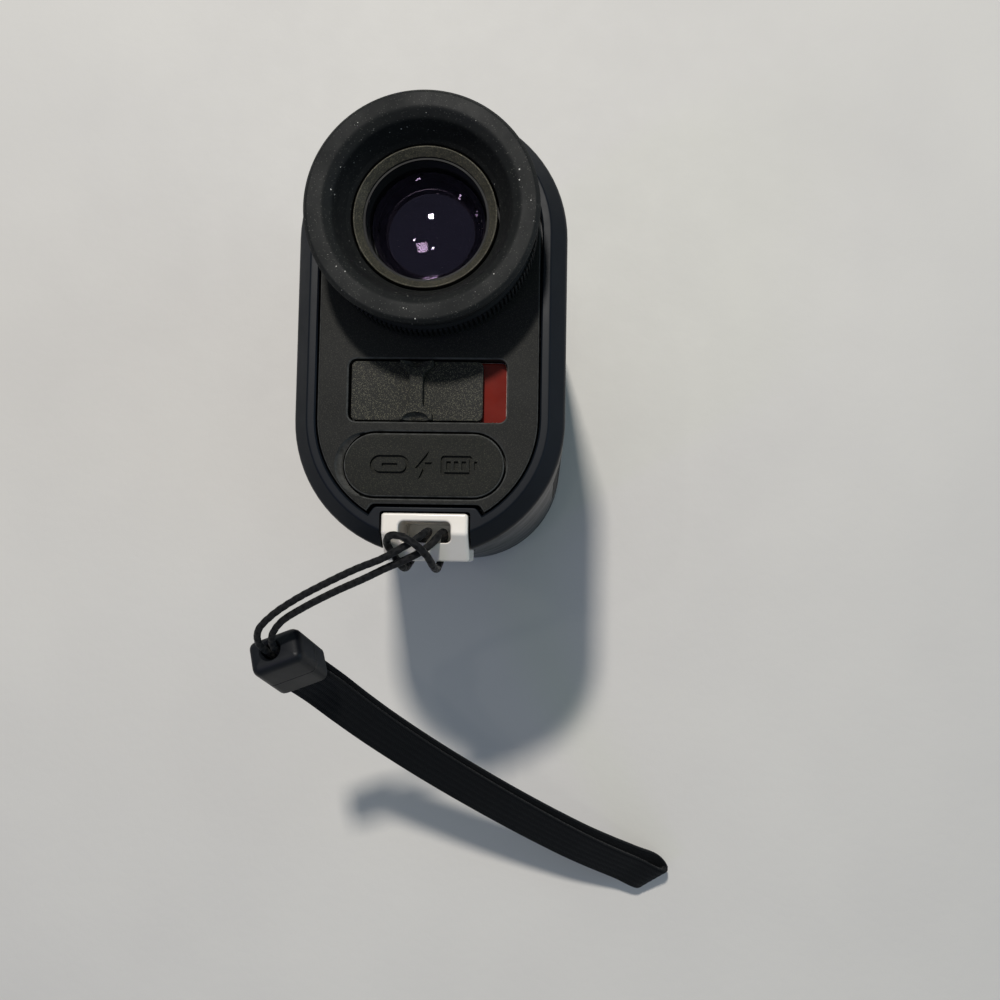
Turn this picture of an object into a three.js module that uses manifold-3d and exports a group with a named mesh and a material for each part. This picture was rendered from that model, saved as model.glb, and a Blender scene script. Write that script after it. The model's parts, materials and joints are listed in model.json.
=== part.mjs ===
// Pocket laser rangefinder with a wrist strap, standing on its front bezel.
// Millimetres. +Z points out of the eyepiece, +Y to the button side, X is the width.
// The origin is the middle of the footprint on the table.

import * as THREE from 'three';
import { mergeVertices } from 'three/addons/utils/BufferGeometryUtils.js';
import Module from 'manifold-3d';

const wasm = await Module();
wasm.setup();

// ---------------------------------------------------------------------------
// Driving dimensions
// ---------------------------------------------------------------------------

const GAP = 0.3;

// Cutters run this far past the body's sides, and between these heights at its rear end.
const FAR = 45;
const REAR = { z0: 80, z1: 95 };

// Facets: steps in a curve of an outline and of a button's, round a turned piece and round a pin.
const ARC_STEPS = 8;
const BUTTON_STEPS = 6;
const TURN_STEPS = 32;
const PIN_STEPS = 12;

// The body is a stadium: two half circles of radius BODY.r, BODY.reach above and below the middle.
const BODY = { r: 21, reach: 14.25, wall: 2.2, front: 5.6, rear: 90, bevel: 2.5, bevelRise: 2.8 };
const CAVITY_R = BODY.r - BODY.wall;
const LEDGE = { r: 15.8, z0: 84, z1: 85.3 };
const PANEL = { r: 16.85, z0: 87, z1: 89.9 };
const SEAL = { r0: 15.9, z0: 85.6, z1: 86.7 };
const EYE_SEAL = { r0: 13.2, r1: 14.4 };
const NOTCH = { top: -27.4, half: 8.2, flare: 1.8, drop: 2.6, gap: 0.45 };

const AXIS_Y = BODY.reach;
const EYEPIECE = { r: 13, bore: 11.2, flange: 14.6, play: 0.4, z0: 69, z1: 94 };
const DIOPTRE = { r: 16.1, rib: 0.4, ribs: 36, z0: 90.5, z1: 95.4, web: 1, neck: 11.3 };
const EYECUP = { lip: 16.65, mouth: 13.3, throat: 10.95, base: 15.8, z0: 95.7, z1: 102.5 };
const OCULAR_RING = { r0: 9.3, r1: 10.6, z0: 96.9, z1: 97.5 };
const CELL = { r: 10.9, neck: 10.3, lens: 8.9, stop: 7.6, z0: 76, shoulder: 93.6, z1: 96.6 };
const EYE_LENS = { r: 8.6, z0: 90.5, edge: 92.4, crown: 94.2 };
const FIELD_LENS = { r: 8.6, z0: 82.9, edge: 79.4, crown: 77.8 };

const WINDOW = { y: -10.07, wide: 24.2, high: 9.7 };
const SLIDER = { x0: -11.8, wide: 20.2, high: 9.1, z0: 87.9, z1: 89.3, travel: 3.4 };
const RIB = { wide: 2.2, flare: 5, rise: 1.2, waist: 2.4, foot: 1 };
const RED = { x0: 5.6, x1: 12, half: 4.7, z0: 86.9, z1: 87.6 };
const TRACK = { wide: 26, high: 12, slot: 2, play: 0.5, z0: 85.6, z1: 86.6 };
const PRONG = { half: 1.5, wide: 0.9, z0: 84 };
const KNOB = { wide: 2.2, half: 1.1, z0: 82.8, z1: 86.2 };
const SWITCH = { wide: 6, half: 2.2, z0: 79, z1: 82.5 };

const PORT = { x: -0.35, y: -21.5, reach: 7.4, r: 4.85, edge: 0.4, z0: 88.1, z1: 89.9, floor: 87.8 };
const SCOOP = { x: -9, r: 5, z0: 88.7 };
const PLUG = { reach: 2.85, r: 1.15, play: 0.8, root: 0.5, z0: 86.5 };
const USB = { reach: 2.85, r: 1.65, wall: 0.3, back: 0.8, steps: 6, z0: 79.6, z1: 86.2 };
const USB_TONGUE = { wide: 3.3, half: 0.35, z1: 85.4 };
const USB_BOARD = { half: 8, y0: -25.2, y1: -23.8, z0: 62, z1: 85.3 };

const LUG = { half: 6.6, top: -28.8, out: -36, rear: 90.4, bend: -31.9, z0: 77 };
const LUG_FOOT = { half: 9, thick: 1.4, high: 5 };
const SLOT = { half: 3.95, y0: -33.2, y1: -30, z0: 79.8, z1: 84 };

const BEZEL = { z1: 5.3, chamfer: 1.5, spigot: 18.4, spigotEnd: 10, hollow: 16.6, face: 4 };
const FLARE = { wide: 1.5, deep: 1.4 };
const GROOVE = { r: 17.3, play: 0.2, z0: 7.2, z1: 8.6 };
const OBJECTIVE = { r: 14.3, lens: 12.7, z0: 2.2, z1: 17, clear: 11.4, seat: 9.2 };
const OBJECTIVE_LENS = { r: 12.7, crown: 4, edge: 5.6, back: 8.9 };
const RETAINER = { r0: 11.9, r1: 12.7, z0: 2.8, z1: 4.9 };
const EMITTER = { y: -17, r: 7.6, lens: 6.3, z0: 2.2, z1: 30, clear: 5.6, seat: 7.6 };
const EMITTER_LENS = { r: 6.3, crown: 3.6, edge: 4.6, back: 7.3 };
const DIODE = { can: 2.3, base: 4.6, z0: 26, step: 30.5, z1: 31.8, sides: 16 };
const LASER_BOARD = { half: 7, y0: -23, y1: -11, z0: 32.2, z1: 33.6 };
const FUNNEL = { front: 13.2, back: 11.4, wall: 1.2, z0: 17.4, z1: 39.6 };
const HOLDER = { half: 12.5, y0: 2.6, y1: 25.9, z0: 40, z1: 63, inX: 10, inY: 9.2 };
const PRISM = { half: 9.5, y0: 5.9, y1: 22.6, ridge: 15, z0: 41.5, shoulder: 54, z1: 61.5 };
const DISPLAY = { half: 10.5, open: 8.8, glass: 8.5, z0: 65, z1: 68, glassZ0: 65.8, glassZ1: 67.2 };
const PHOTODIODE = { x0: 12.8, x1: 15.6, half: 2.7, z0: 49, z1: 54.4 };

const GRIP = { r0: 20.3, half: 22, z0: 18, z1: 74 };
const POWER = { z: 42, reach: 2.4 };
const MODE = { z: 61, reach: 0 };
const BUTTON = { r: 4.2, play: 0.35, crown: 21.75, flange: 1, y0: 31.2, y1: 31.9, inner: 28 };
const KEYBOARD = { half: 8, y0: 27.4, y1: 28.8, z0: 30, z1: 72 };
const TACT = { half: 3, high: 1, stem: 1.6, gap: 1.1 };

const CHASSIS = { half: 16.5, y0: -1.6, y1: -0.2, z0: 18, z1: 81 };
const RAIL = { wide: 1.4, y1: 10, z0: 20, z1: 80 };
const BOARD = { half: 15.3, y0: -4.4, y1: -3, z0: 19, z1: 79 };
const SCREW = { x: 12, low: 23, high: 75, shank: 0.85, head: 1.7, headHigh: 1.2, post: 1.9 };
const BATTERY = { y: -15.5, reach: 9, r: 4.5, z0: 40, z1: 75 };

// Chips on the main board as half width, lower and upper edge.
const CHIPS = [ [ 4.5, 48, 57 ], [ 3, 34, 40 ], [ 5, 63, 68 ] ];
const CHIP_HIGH = 1.2;

const CORD = 1.15;
const CORD_SIDES = 8;
const CORD_STEPS = 76;
const WEBBING_STEPS = 72;
const LEG_STEPS = 14;
const CRIMP = { wide: 9, high: 6, long: 11.5, round: 1.1 };
const CRIMP_HOLE = { r: 1.5, x: -0.6, y: -0.2, deep: 4 };
const CRIMP_POCKET = { wide: 4.2, half: 1.95, deep: 4 };
const WEBBING = { wide: 8.2, thick: 1.25, nip: 0.45, fold: 1.75, spread: 1.6 };

// Crimp block: its middle, and the directions of its width, its broad face and its length.
const CRIMP_AT = new THREE.Vector3( - 25, - 53.3, 71.3 );
const CRIMP_W = new THREE.Vector3( 0.931, 0.36, 0.057 ).normalize();
const CRIMP_T = new THREE.Vector3( 0.209, - 0.4, - 0.892 ).normalize();
const CRIMP_N = new THREE.Vector3().crossVectors( CRIMP_T, CRIMP_W ).normalize();

// Middle of the webbing loop, from the crimp down to the fold on the table.
const WEBBING_ROUTE = [
	[ - 23.6, - 56, 65.6 ], [ - 21.2, - 59.2, 59.4 ], [ - 15.2, - 65.9, 50.5 ], [ - 5.9, - 74.1, 41.4 ],
	[ 5.1, - 82.5, 32.7 ], [ 16.6, - 90.6, 24 ], [ 27.6, - 97.7, 16 ], [ 36.2, - 102.6, 9.6 ],
	[ 42.6, - 106.2, 5.3 ],
];
const WEBBING_END_W = new THREE.Vector3( 0.7, 0.56, 0.36 ).normalize();

// Lanyard cord: out of the crimp, hitched round the lug's bar, and back into the crimp.
const CORD_ROUTE = [
	[ - 26.9, - 52.3, 73.6 ], [ - 27.5, - 51.1, 76.3 ], [ - 28, - 49.6, 79 ], [ - 27.3, - 47.4, 81.4 ],
	[ - 24.8, - 45, 83 ], [ - 20.8, - 42.4, 84.6 ], [ - 16.2, - 40, 86.3 ], [ - 10.6, - 37.4, 88.4 ],
	[ - 6.2, - 35.7, 90.4 ], [ - 3.4, - 34.2, 91.3 ], [ - 1.3, - 32.9, 91.2 ], [ - 0.1, - 31.8, 89.6 ],
	[ 0.2, - 31.4, 87.2 ], [ 0, - 31.6, 84.8 ], [ - 0.8, - 32.3, 82.6 ], [ - 2, - 34, 81.7 ],
	[ - 3.1, - 36.2, 82.2 ], [ - 3.5, - 37.1, 84.4 ], [ - 3.9, - 36.7, 87 ], [ - 4.7, - 35.2, 88.7 ],
	[ - 5.6, - 33.4, 90.2 ], [ - 4.9, - 32.3, 92 ], [ - 3, - 32.4, 93 ], [ - 0.9, - 33.6, 92.8 ],
	[ 0.6, - 35.2, 91.2 ], [ 1.2, - 36.6, 88.8 ], [ 1.4, - 37.2, 86 ], [ 1.5, - 36.9, 83.5 ],
	[ 1.8, - 35.4, 81.9 ], [ 2.2, - 33.4, 81.9 ], [ 2.4, - 32, 83.4 ], [ 2.5, - 31.5, 86.2 ],
	[ 2.2, - 31.9, 88.6 ], [ 1.2, - 33.3, 90.1 ], [ - 0.8, - 34.8, 90.1 ], [ - 3.2, - 36, 89.5 ],
	[ - 6, - 37.2, 88.6 ], [ - 9.4, - 38.8, 87.2 ], [ - 14.6, - 41.1, 85.2 ], [ - 20, - 43.8, 83 ],
	[ - 23.6, - 46, 81.4 ], [ - 25.6, - 48.2, 79.4 ], [ - 26.1, - 49.6, 77.8 ], [ - 26.1, - 50.6, 76.4 ],
	[ - 25.6, - 51.8, 73.7 ],
];

const FINISH = {
	shell: { color: 0x14181f, roughness: 0.42, metalness: 0 },
	panel: { color: 0x2b2b2a, roughness: 0.6, metalness: 0 },
	rubber: { color: 0x1c1c1d, roughness: 0.85, metalness: 0 },
	slider: { color: 0x252524, roughness: 0.55, metalness: 0 },
	red: { color: 0x8c2412, roughness: 0.25, metalness: 0 },
	white: { color: 0xe6e2dd, roughness: 0.3, metalness: 0 },
	ring: { color: 0x77746a, roughness: 0.6, metalness: 0.4 },
	black: { color: 0x0d0d0e, roughness: 0.5, metalness: 0 },
	glass: { color: 0x1a1420, roughness: 0.05, metalness: 0 },
	board: { color: 0x1d4a2c, roughness: 0.5, metalness: 0 },
	metal: { color: 0x9a9a9c, roughness: 0.3, metalness: 1 },
	chassis: { color: 0x4a4c50, roughness: 0.5, metalness: 0.8 },
	battery: { color: 0x8a9098, roughness: 0.4, metalness: 0.6 },
	cord: { color: 0x101012, roughness: 0.8, metalness: 0 },
	webbing: { color: 0x121214, roughness: 0.9, metalness: 0 },
};

// ---------------------------------------------------------------------------
// Solids
// ---------------------------------------------------------------------------

/** Turns a closed three.js geometry into a solid with its faces pointing out. */
function solid( geometry ) {

	const bare = geometry.clone();
	bare.deleteAttribute( 'normal' );
	bare.deleteAttribute( 'uv' );
	const merged = mergeVertices( bare, 1e-4 );
	const vertProperties = new Float32Array( merged.attributes.position.array );
	const source = merged.index.array;
	const corners = [];
	for ( let i = 0; i < source.length; i += 3 ) {

		const [ a, b, c ] = [ source[ i ], source[ i + 1 ], source[ i + 2 ] ];
		if ( a !== b && b !== c && c !== a ) corners.push( a, b, c );

	}

	const build = ( list ) => new wasm.Manifold(
		new wasm.Mesh( { numProp: 3, vertProperties, triVerts: new Uint32Array( list ) } ) );
	const made = build( corners );
	if ( made.volume() > 0 ) return made;
	return build( corners.reverse() );

}

/** A flat outline pulled up along Z. */
function prism( shape, z0, z1, curveSegments = ARC_STEPS ) {

	const options = { depth: z1 - z0, bevelEnabled: false, curveSegments };
	return solid( new THREE.ExtrudeGeometry( shape, options ).translate( 0, 0, z0 ) );

}

/** A flat outline pulled along Y, its own Y becoming the model's Z. */
function prismY( shape, y0, y1, z = 0 ) {

	const options = { depth: y1 - y0, bevelEnabled: false, curveSegments: BUTTON_STEPS };
	const geometry = new THREE.ExtrudeGeometry( shape, options );
	return solid( geometry.rotateX( Math.PI / 2 ).translate( 0, y1, z ) );

}

/** A flat outline of [ y, z ] points pulled along X, centred on X = 0. */
function prismX( points, half ) {

	const shape = new THREE.Shape( points.map( ( [ y, z ] ) => new THREE.Vector2( y, z ) ) );
	const geometry = new THREE.ExtrudeGeometry( shape, { depth: 2 * half, bevelEnabled: false } );
	const turn = new THREE.Matrix4().makeBasis(
		new THREE.Vector3( 0, 1, 0 ), new THREE.Vector3( 0, 0, 1 ), new THREE.Vector3( 1, 0, 0 ) );
	return solid( geometry.applyMatrix4( turn ).translate( - half, 0, 0 ) );

}

/** A block between two corners. */
function block( x0, x1, y0, y1, z0, z1 ) {

	const geometry = new THREE.BoxGeometry( x1 - x0, y1 - y0, z1 - z0 );
	return solid( geometry.translate( ( x0 + x1 ) / 2, ( y0 + y1 ) / 2, ( z0 + z1 ) / 2 ) );

}

/** A profile of [ radius, z ] points turned round an upright axis. */
function turned( points, y = 0, segments = TURN_STEPS ) {

	const profile = points.map( ( [ r, z ] ) => new THREE.Vector2( r, z ) );
	const geometry = new THREE.LatheGeometry( profile, segments );
	return solid( geometry.rotateX( Math.PI / 2 ).translate( 0, y, 0 ) );

}

/** A ring of rectangular section round the Z axis. */
function ring( r0, r1, z0, z1 ) {

	return turned( [ [ r0, z0 ], [ r1, z0 ], [ r1, z1 ], [ r0, z1 ], [ r0, z0 ] ] );

}

/** A disc round a vertical axis through ( x, y ). */
function disc( r, z0, z1, x = 0, y = 0 ) {

	const geometry = new THREE.CylinderGeometry( r, r, z1 - z0, TURN_STEPS ).rotateX( Math.PI / 2 );
	return solid( geometry.translate( x, y, ( z0 + z1 ) / 2 ) );

}

/** A round bar along Y. */
function pinY( r, y0, y1, x, z ) {

	const geometry = new THREE.CylinderGeometry( r, r, y1 - y0, PIN_STEPS );
	return solid( geometry.translate( x, ( y0 + y1 ) / 2, z ) );

}

/** Points of a lens face from the axis to its rim, bulging by crown - edge. */
function lensFace( r, edge, crown, steps = 4 ) {

	const points = [];
	for ( let i = 0; i <= steps; i ++ ) {

		const radius = r * i / steps;
		points.push( [ radius, crown + ( edge - crown ) * ( radius / r ) ** 2 ] );

	}

	return points;

}

/** The mesh of a solid, ready for the scene. */
function meshOf( name, shape, finish ) {

	const { vertProperties, triVerts } = shape.getMesh();
	const geometry = new THREE.BufferGeometry();
	geometry.setAttribute( 'position', new THREE.BufferAttribute( new Float32Array( vertProperties ), 3 ) );
	geometry.setIndex( new THREE.BufferAttribute( new Uint32Array( triVerts ), 1 ) );
	const flat = geometry.toNonIndexed();
	flat.computeVertexNormals();
	const mesh = new THREE.Mesh( flat, new THREE.MeshStandardMaterial( FINISH[ finish ] ) );
	mesh.name = name;
	return mesh;

}

// ---------------------------------------------------------------------------
// Outlines
// ---------------------------------------------------------------------------

/** The body's section, its half circles above and below the middle. */
function bodyOutline( r ) {

	const shape = new THREE.Shape();
	shape.absarc( 0, BODY.reach, r, 0, Math.PI, false );
	shape.absarc( 0, - BODY.reach, r, Math.PI, 2 * Math.PI, false );
	return shape;

}

/** A lying stadium with its half circles to the left and right of ( x, y ). */
function slotOutline( x, y, reach, r ) {

	const shape = new THREE.Shape();
	shape.absarc( x + reach, y, r, - Math.PI / 2, Math.PI / 2, false );
	shape.absarc( x - reach, y, r, Math.PI / 2, 1.5 * Math.PI, false );
	return shape;

}

/** A standing stadium centred on the origin; a reach of 0 is a circle. */
function buttonOutline( r, reach ) {

	const shape = new THREE.Shape();
	shape.absarc( 0, reach, r, 0, Math.PI, false );
	shape.absarc( 0, - reach, r, Math.PI, 2 * Math.PI, false );
	return shape;

}

/** The step in the panel's edge round the lanyard lug, grown by a margin. */
function notchOutline( grow ) {

	const top = NOTCH.top + grow;
	const half = NOTCH.half + grow;
	return new THREE.Shape( [
		new THREE.Vector2( - half, top ),
		new THREE.Vector2( - half - NOTCH.flare, top - NOTCH.drop ),
		new THREE.Vector2( - half - NOTCH.flare, - FAR ),
		new THREE.Vector2( half + NOTCH.flare, - FAR ),
		new THREE.Vector2( half + NOTCH.flare, top - NOTCH.drop ),
		new THREE.Vector2( half, top ),
	] );

}

// ---------------------------------------------------------------------------
// Shell
// ---------------------------------------------------------------------------

function mainHousing() {

	const depth = BODY.rear - BODY.bevelRise - BODY.front;
	const bevelled = new THREE.ExtrudeGeometry( bodyOutline( BODY.r - BODY.bevel ), {
		depth, bevelThickness: BODY.bevelRise, bevelSize: BODY.bevel,
		bevelSegments: 1, curveSegments: ARC_STEPS,
	} );
	let shell = solid( bevelled.translate( 0, 0, BODY.front ) );
	shell = shell.intersect( block( - FAR, FAR, - FAR, FAR, BODY.front, BODY.rear ) );
	shell = shell.subtract( prism( bodyOutline( CAVITY_R ), 0, LEDGE.z0 ) );
	shell = shell.subtract( prism( bodyOutline( LEDGE.r ), LEDGE.z0 - 1, LEDGE.z1 + 1 ) );
	const mouth = prism( bodyOutline( PANEL.r + GAP ), LEDGE.z1, BODY.rear + 1 );
	shell = shell.subtract( mouth.subtract( prism( notchOutline( - NOTCH.gap ), 0, BODY.rear + 2 ) ) );
	const lugHalf = LUG.half + GAP;
	shell = shell.subtract( block( - lugHalf, lugHalf, - FAR, LUG.top + GAP, LUG.z0 - GAP, REAR.z1 ) );
	const skin = prism( bodyOutline( BODY.r + 1 ), GRIP.z0 - GAP, GRIP.z1 + GAP )
		.subtract( prism( bodyOutline( GRIP.r0 - GAP ), 0, BODY.rear ) );
	const gripHalf = GRIP.half + GAP;
	shell = shell.subtract( skin.intersect( block( - FAR, FAR, - gripHalf, gripHalf, 0, BODY.rear ) ) );
	for ( const button of [ POWER, MODE ] ) {

		const hole = buttonOutline( BUTTON.r + BUTTON.play, button.reach );
		shell = shell.subtract( prismY( hole, BUTTON.inner, FAR, button.z ) );

	}

	return shell;

}

function rearPanel() {

	let plate = prism( bodyOutline( PANEL.r ), PANEL.z0, PANEL.z1 );
	plate = plate.subtract( prism( notchOutline( 0 ), REAR.z0, REAR.z1 ) );
	plate = plate.subtract( disc( EYEPIECE.r + EYEPIECE.play, REAR.z0, REAR.z1, 0, AXIS_Y ) );
	const [ wide, high ] = [ WINDOW.wide / 2, WINDOW.high / 2 ];
	plate = plate.subtract( block( - wide, wide, WINDOW.y - high, WINDOW.y + high, REAR.z0, REAR.z1 ) );
	const recess = slotOutline( PORT.x, PORT.y, PORT.reach, PORT.r + GAP );
	plate = plate.subtract( prism( recess, PORT.floor, REAR.z1 ) );
	plate = plate.subtract( disc( SCOOP.r, SCOOP.z0, REAR.z1, SCOOP.x, PORT.y ) );
	const opening = slotOutline( PORT.x, PORT.y, PLUG.reach, PLUG.r + PLUG.play );
	return plate.subtract( prism( opening, REAR.z0, REAR.z1 ) );

}

function frontBezel() {

	const chamfered = new THREE.ExtrudeGeometry( bodyOutline( BODY.r - BEZEL.chamfer ), {
		depth: BEZEL.z1 - BEZEL.chamfer, bevelThickness: BEZEL.chamfer, bevelSize: BEZEL.chamfer,
		bevelSegments: 1, curveSegments: ARC_STEPS,
	} );
	let bezel = solid( chamfered.translate( 0, 0, BEZEL.chamfer ) );
	bezel = bezel.intersect( block( - FAR, FAR, - FAR, FAR, 0, BEZEL.z1 ) );
	bezel = bezel.add( prism( bodyOutline( BEZEL.spigot ), BEZEL.z1 - 1, BEZEL.spigotEnd ) );
	const groove = prism( bodyOutline( BODY.r ), GROOVE.z0, GROOVE.z1 )
		.subtract( prism( bodyOutline( GROOVE.r ), 0, BEZEL.spigotEnd ) );
	bezel = bezel.subtract( groove );
	bezel = bezel.subtract( prism( bodyOutline( BEZEL.hollow ), BEZEL.face, BEZEL.spigotEnd + 1 ) );
	for ( const [ y, r ] of [ [ AXIS_Y, OBJECTIVE.r ], [ EMITTER.y, EMITTER.r ] ] ) {

		const rim = r + FLARE.wide;
		bezel = bezel.subtract( disc( r + GAP, - 1, BEZEL.spigotEnd + 1, 0, y ) );
		const flare = [ [ 0, - 1 ], [ rim, - 1 ], [ rim, 0 ], [ r, FLARE.deep ], [ 0, FLARE.deep ] ];
		bezel = bezel.subtract( turned( flare, y ) );

	}

	return bezel;

}

/** One rubber side grip; side is 1 for +X and -1 for -X. */
function grip( side ) {

	const skin = prism( bodyOutline( BODY.r ), GRIP.z0, GRIP.z1 )
		.subtract( prism( bodyOutline( GRIP.r0 ), 0, BODY.rear ) );
	const [ x0, x1 ] = side > 0 ? [ 0, FAR ] : [ - FAR, 0 ];
	return skin.intersect( block( x0, x1, - GRIP.half, GRIP.half, 0, BODY.rear ) );

}

function rearGasket() {

	const band = prism( bodyOutline( PANEL.r ), SEAL.z0, SEAL.z1 )
		.subtract( prism( bodyOutline( SEAL.r0 ), 0, BODY.rear ) );
	return band.subtract( prism( notchOutline( 0 ), REAR.z0, REAR.z1 ) );

}

function frontSeal() {

	const { r, play, z0, z1 } = GROOVE;
	const band = prism( bodyOutline( BEZEL.spigot + play ), z0 + play, z1 - play );
	return band.subtract( prism( bodyOutline( r + play ), 0, BEZEL.spigotEnd ) );

}

function lanyardLug() {

	const slope = LUG.bend - LUG.out;
	let lug = prismX( [
		[ LUG.top, LUG.z0 ], [ LUG.out, LUG.z0 ], [ LUG.out, LUG.rear - slope ],
		[ LUG.bend, LUG.rear ], [ LUG.top, LUG.rear ],
	], LUG.half );
	const { half, thick, high } = LUG_FOOT;
	lug = lug.add( block( - half, half, LUG.top - thick, LUG.top, LUG.z0 + GAP, LUG.z0 + high ) );
	lug = lug.subtract( block( - SLOT.half, SLOT.half, SLOT.y0, SLOT.y1, SLOT.z0, REAR.z1 ) );
	return lug.subtract( block( - SLOT.half, SLOT.half, - FAR, SLOT.y1, SLOT.z0, SLOT.z1 ) );

}

// ---------------------------------------------------------------------------
// Controls
// ---------------------------------------------------------------------------

function button( { z, reach } ) {

	const cap = prismY( buttonOutline( BUTTON.r, reach ), BUTTON.y0, FAR, z )
		.intersect( prism( bodyOutline( BUTTON.crown ), 0, BODY.rear ) );
	const flange = buttonOutline( BUTTON.r + BUTTON.flange, reach );
	return cap.add( prismY( flange, BUTTON.y0, BUTTON.y1, z ) );

}

function tactSwitch( { z } ) {

	const { half, high, stem, gap } = TACT;
	const base = block( - half, half, KEYBOARD.y1 + GAP, KEYBOARD.y1 + high, z - half, z + half );
	return base.add( pinY( stem, KEYBOARD.y1 + GAP, BUTTON.y0 - gap, 0, z ) );

}

function slopeSlider() {

	const { x0, wide, high, z0, z1 } = SLIDER;
	const middle = x0 + wide / 2;
	let slider = block( x0, x0 + wide, WINDOW.y - high / 2, WINDOW.y + high / 2, z0, z1 );
	const [ thin, broad, half ] = [ RIB.wide / 2, RIB.flare / 2, high / 2 ];
	const bend = half - RIB.foot;
	const rib = new THREE.Shape( [
		[ thin, - RIB.waist ], [ thin, RIB.waist ], [ broad, bend ], [ broad, half ],
		[ - broad, half ], [ - broad, bend ], [ - thin, RIB.waist ], [ - thin, - RIB.waist ],
		[ - broad, - bend ], [ - broad, - half ], [ broad, - half ], [ broad, - bend ],
	].map( ( [ x, y ] ) => new THREE.Vector2( middle + x, WINDOW.y + y ) ) );
	slider = slider.add( prism( rib, z0, z1 + RIB.rise ) );
	const [ low, up ] = [ WINDOW.y - PRONG.half, WINDOW.y + PRONG.half ];
	for ( const x of [ middle - KNOB.wide / 2 - PRONG.wide, middle + KNOB.wide / 2 ] ) {

		slider = slider.add( block( x, x + PRONG.wide, low, up, PRONG.z0, z1 ) );

	}

	return slider;

}

function sliderTrack() {

	const { wide, high, slot, play, z0, z1 } = TRACK;
	const middle = SLIDER.x0 + SLIDER.wide / 2;
	const reach = KNOB.wide / 2 + PRONG.wide + play;
	const [ left, right ] = [ middle - reach, middle + reach + SLIDER.travel ];
	const plate = block( - wide / 2, wide / 2, WINDOW.y - high / 2, WINDOW.y + high / 2, z0, z1 );
	return plate.subtract( block( left, right, WINDOW.y - slot, WINDOW.y + slot, REAR.z0, REAR.z1 ) );

}

function switchKnob() {

	const middle = SLIDER.x0 + SLIDER.wide / 2;
	const half = KNOB.wide / 2 - GAP;
	return block( middle - half, middle + half, WINDOW.y - KNOB.half, WINDOW.y + KNOB.half, KNOB.z0, KNOB.z1 );

}

function redIndicator() {

	const { x0, x1, half, z0, z1 } = RED;
	return block( x0, x1, WINDOW.y - half, WINDOW.y + half, z0, z1 );

}

function slideSwitch() {

	const { wide, half, z0, z1 } = SWITCH;
	return block( - wide, wide, WINDOW.y - half, WINDOW.y + half, z0, z1 );

}

function portCover() {

	const { x, y, reach, r, edge, z0, z1 } = PORT;
	const lid = new THREE.ExtrudeGeometry( slotOutline( x, y, reach, r - edge ), {
		depth: z1 - z0 - edge, bevelThickness: edge, bevelSize: edge,
		bevelSegments: 1, curveSegments: ARC_STEPS,
	} );
	const top = solid( lid.translate( 0, 0, z0 ) ).intersect( block( - FAR, FAR, - FAR, 0, z0, REAR.z1 ) );
	return top.add( prism( slotOutline( x, y, PLUG.reach, PLUG.r ), PLUG.z0, z0 + PLUG.root ) );

}

function usbReceptacle() {

	const { reach, r, wall, back, steps, z0, z1 } = USB;
	const { x, y } = PORT;
	const shell = prism( slotOutline( x, y, reach, r ), z0, z1, steps );
	const inside = prism( slotOutline( x, y, reach, r - wall ), z0 + back, z1 + 1, steps );
	const { wide, half, z1: tip } = USB_TONGUE;
	return shell.subtract( inside ).add( block( x - wide, x + wide, y - half, y + half, z0, tip ) );

}

// ---------------------------------------------------------------------------
// Optics, each round its own axis
// ---------------------------------------------------------------------------

function dioptreRing() {

	const { r, rib, ribs, z0, z1, web, neck } = DIOPTRE;
	const points = [];
	for ( let i = 0; i < ribs; i ++ ) {

		for ( const [ share, grow ] of [ [ 0, 0 ], [ 0.3, 0 ], [ 0.45, rib ], [ 0.85, rib ] ] ) {

			const angle = 2 * Math.PI * ( i + share ) / ribs;
			points.push( new THREE.Vector2( ( r + grow ) * Math.cos( angle ), ( r + grow ) * Math.sin( angle ) ) );

		}

	}

	return prism( new THREE.Shape( points ), z0, z1 )
		.subtract( disc( EYEPIECE.r + EYEPIECE.play, REAR.z0, z1 - web ) )
		.subtract( disc( neck, REAR.z0, z1 + 1 ) );

}

function eyepieceTube() {

	const { r, bore, flange, z0, z1 } = EYEPIECE;
	return ring( bore, r, z0, z1 ).add( ring( bore, flange, LEDGE.z0, LEDGE.z1 ) );

}

function eyecup() {

	const { lip, mouth, throat, base, z0, z1 } = EYECUP;
	return turned( [
		[ throat, z0 ], [ throat, 97.2 ], [ throat + 0.6, 97.9 ], [ 12.4, 99.6 ], [ 13, 101.2 ],
		[ mouth, 101.9 ], [ mouth + 1.1, z1 ], [ lip - 0.6, z1 ], [ lip, z1 - 0.6 ], [ 16.4, 100.6 ],
		[ 15.6, 98.6 ], [ 15.3, 97.3 ], [ base, 96.4 ], [ base, z0 ], [ throat, z0 ],
	] );

}

function ocularCell() {

	const { r, neck, lens, stop, z0, shoulder, z1 } = CELL;
	return turned( [
		[ r, z0 ], [ r, shoulder ], [ neck, shoulder ], [ neck, z1 ], [ lens, z1 ], [ lens, EYE_LENS.z0 - GAP ],
		[ stop, EYE_LENS.z0 - GAP ], [ stop, FIELD_LENS.z0 + GAP ], [ lens, FIELD_LENS.z0 + GAP ],
		[ lens, z0 ], [ r, z0 ],
	] );

}

function eyeLens() {

	const face = lensFace( EYE_LENS.r, EYE_LENS.edge, EYE_LENS.crown ).reverse();
	return turned( [ [ 0, EYE_LENS.z0 ], [ EYE_LENS.r, EYE_LENS.z0 ], ...face ] );

}

function fieldLens() {

	const face = lensFace( FIELD_LENS.r, FIELD_LENS.edge, FIELD_LENS.crown );
	return turned( [ ...face, [ FIELD_LENS.r, FIELD_LENS.z0 ], [ 0, FIELD_LENS.z0 ] ] );

}

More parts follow.
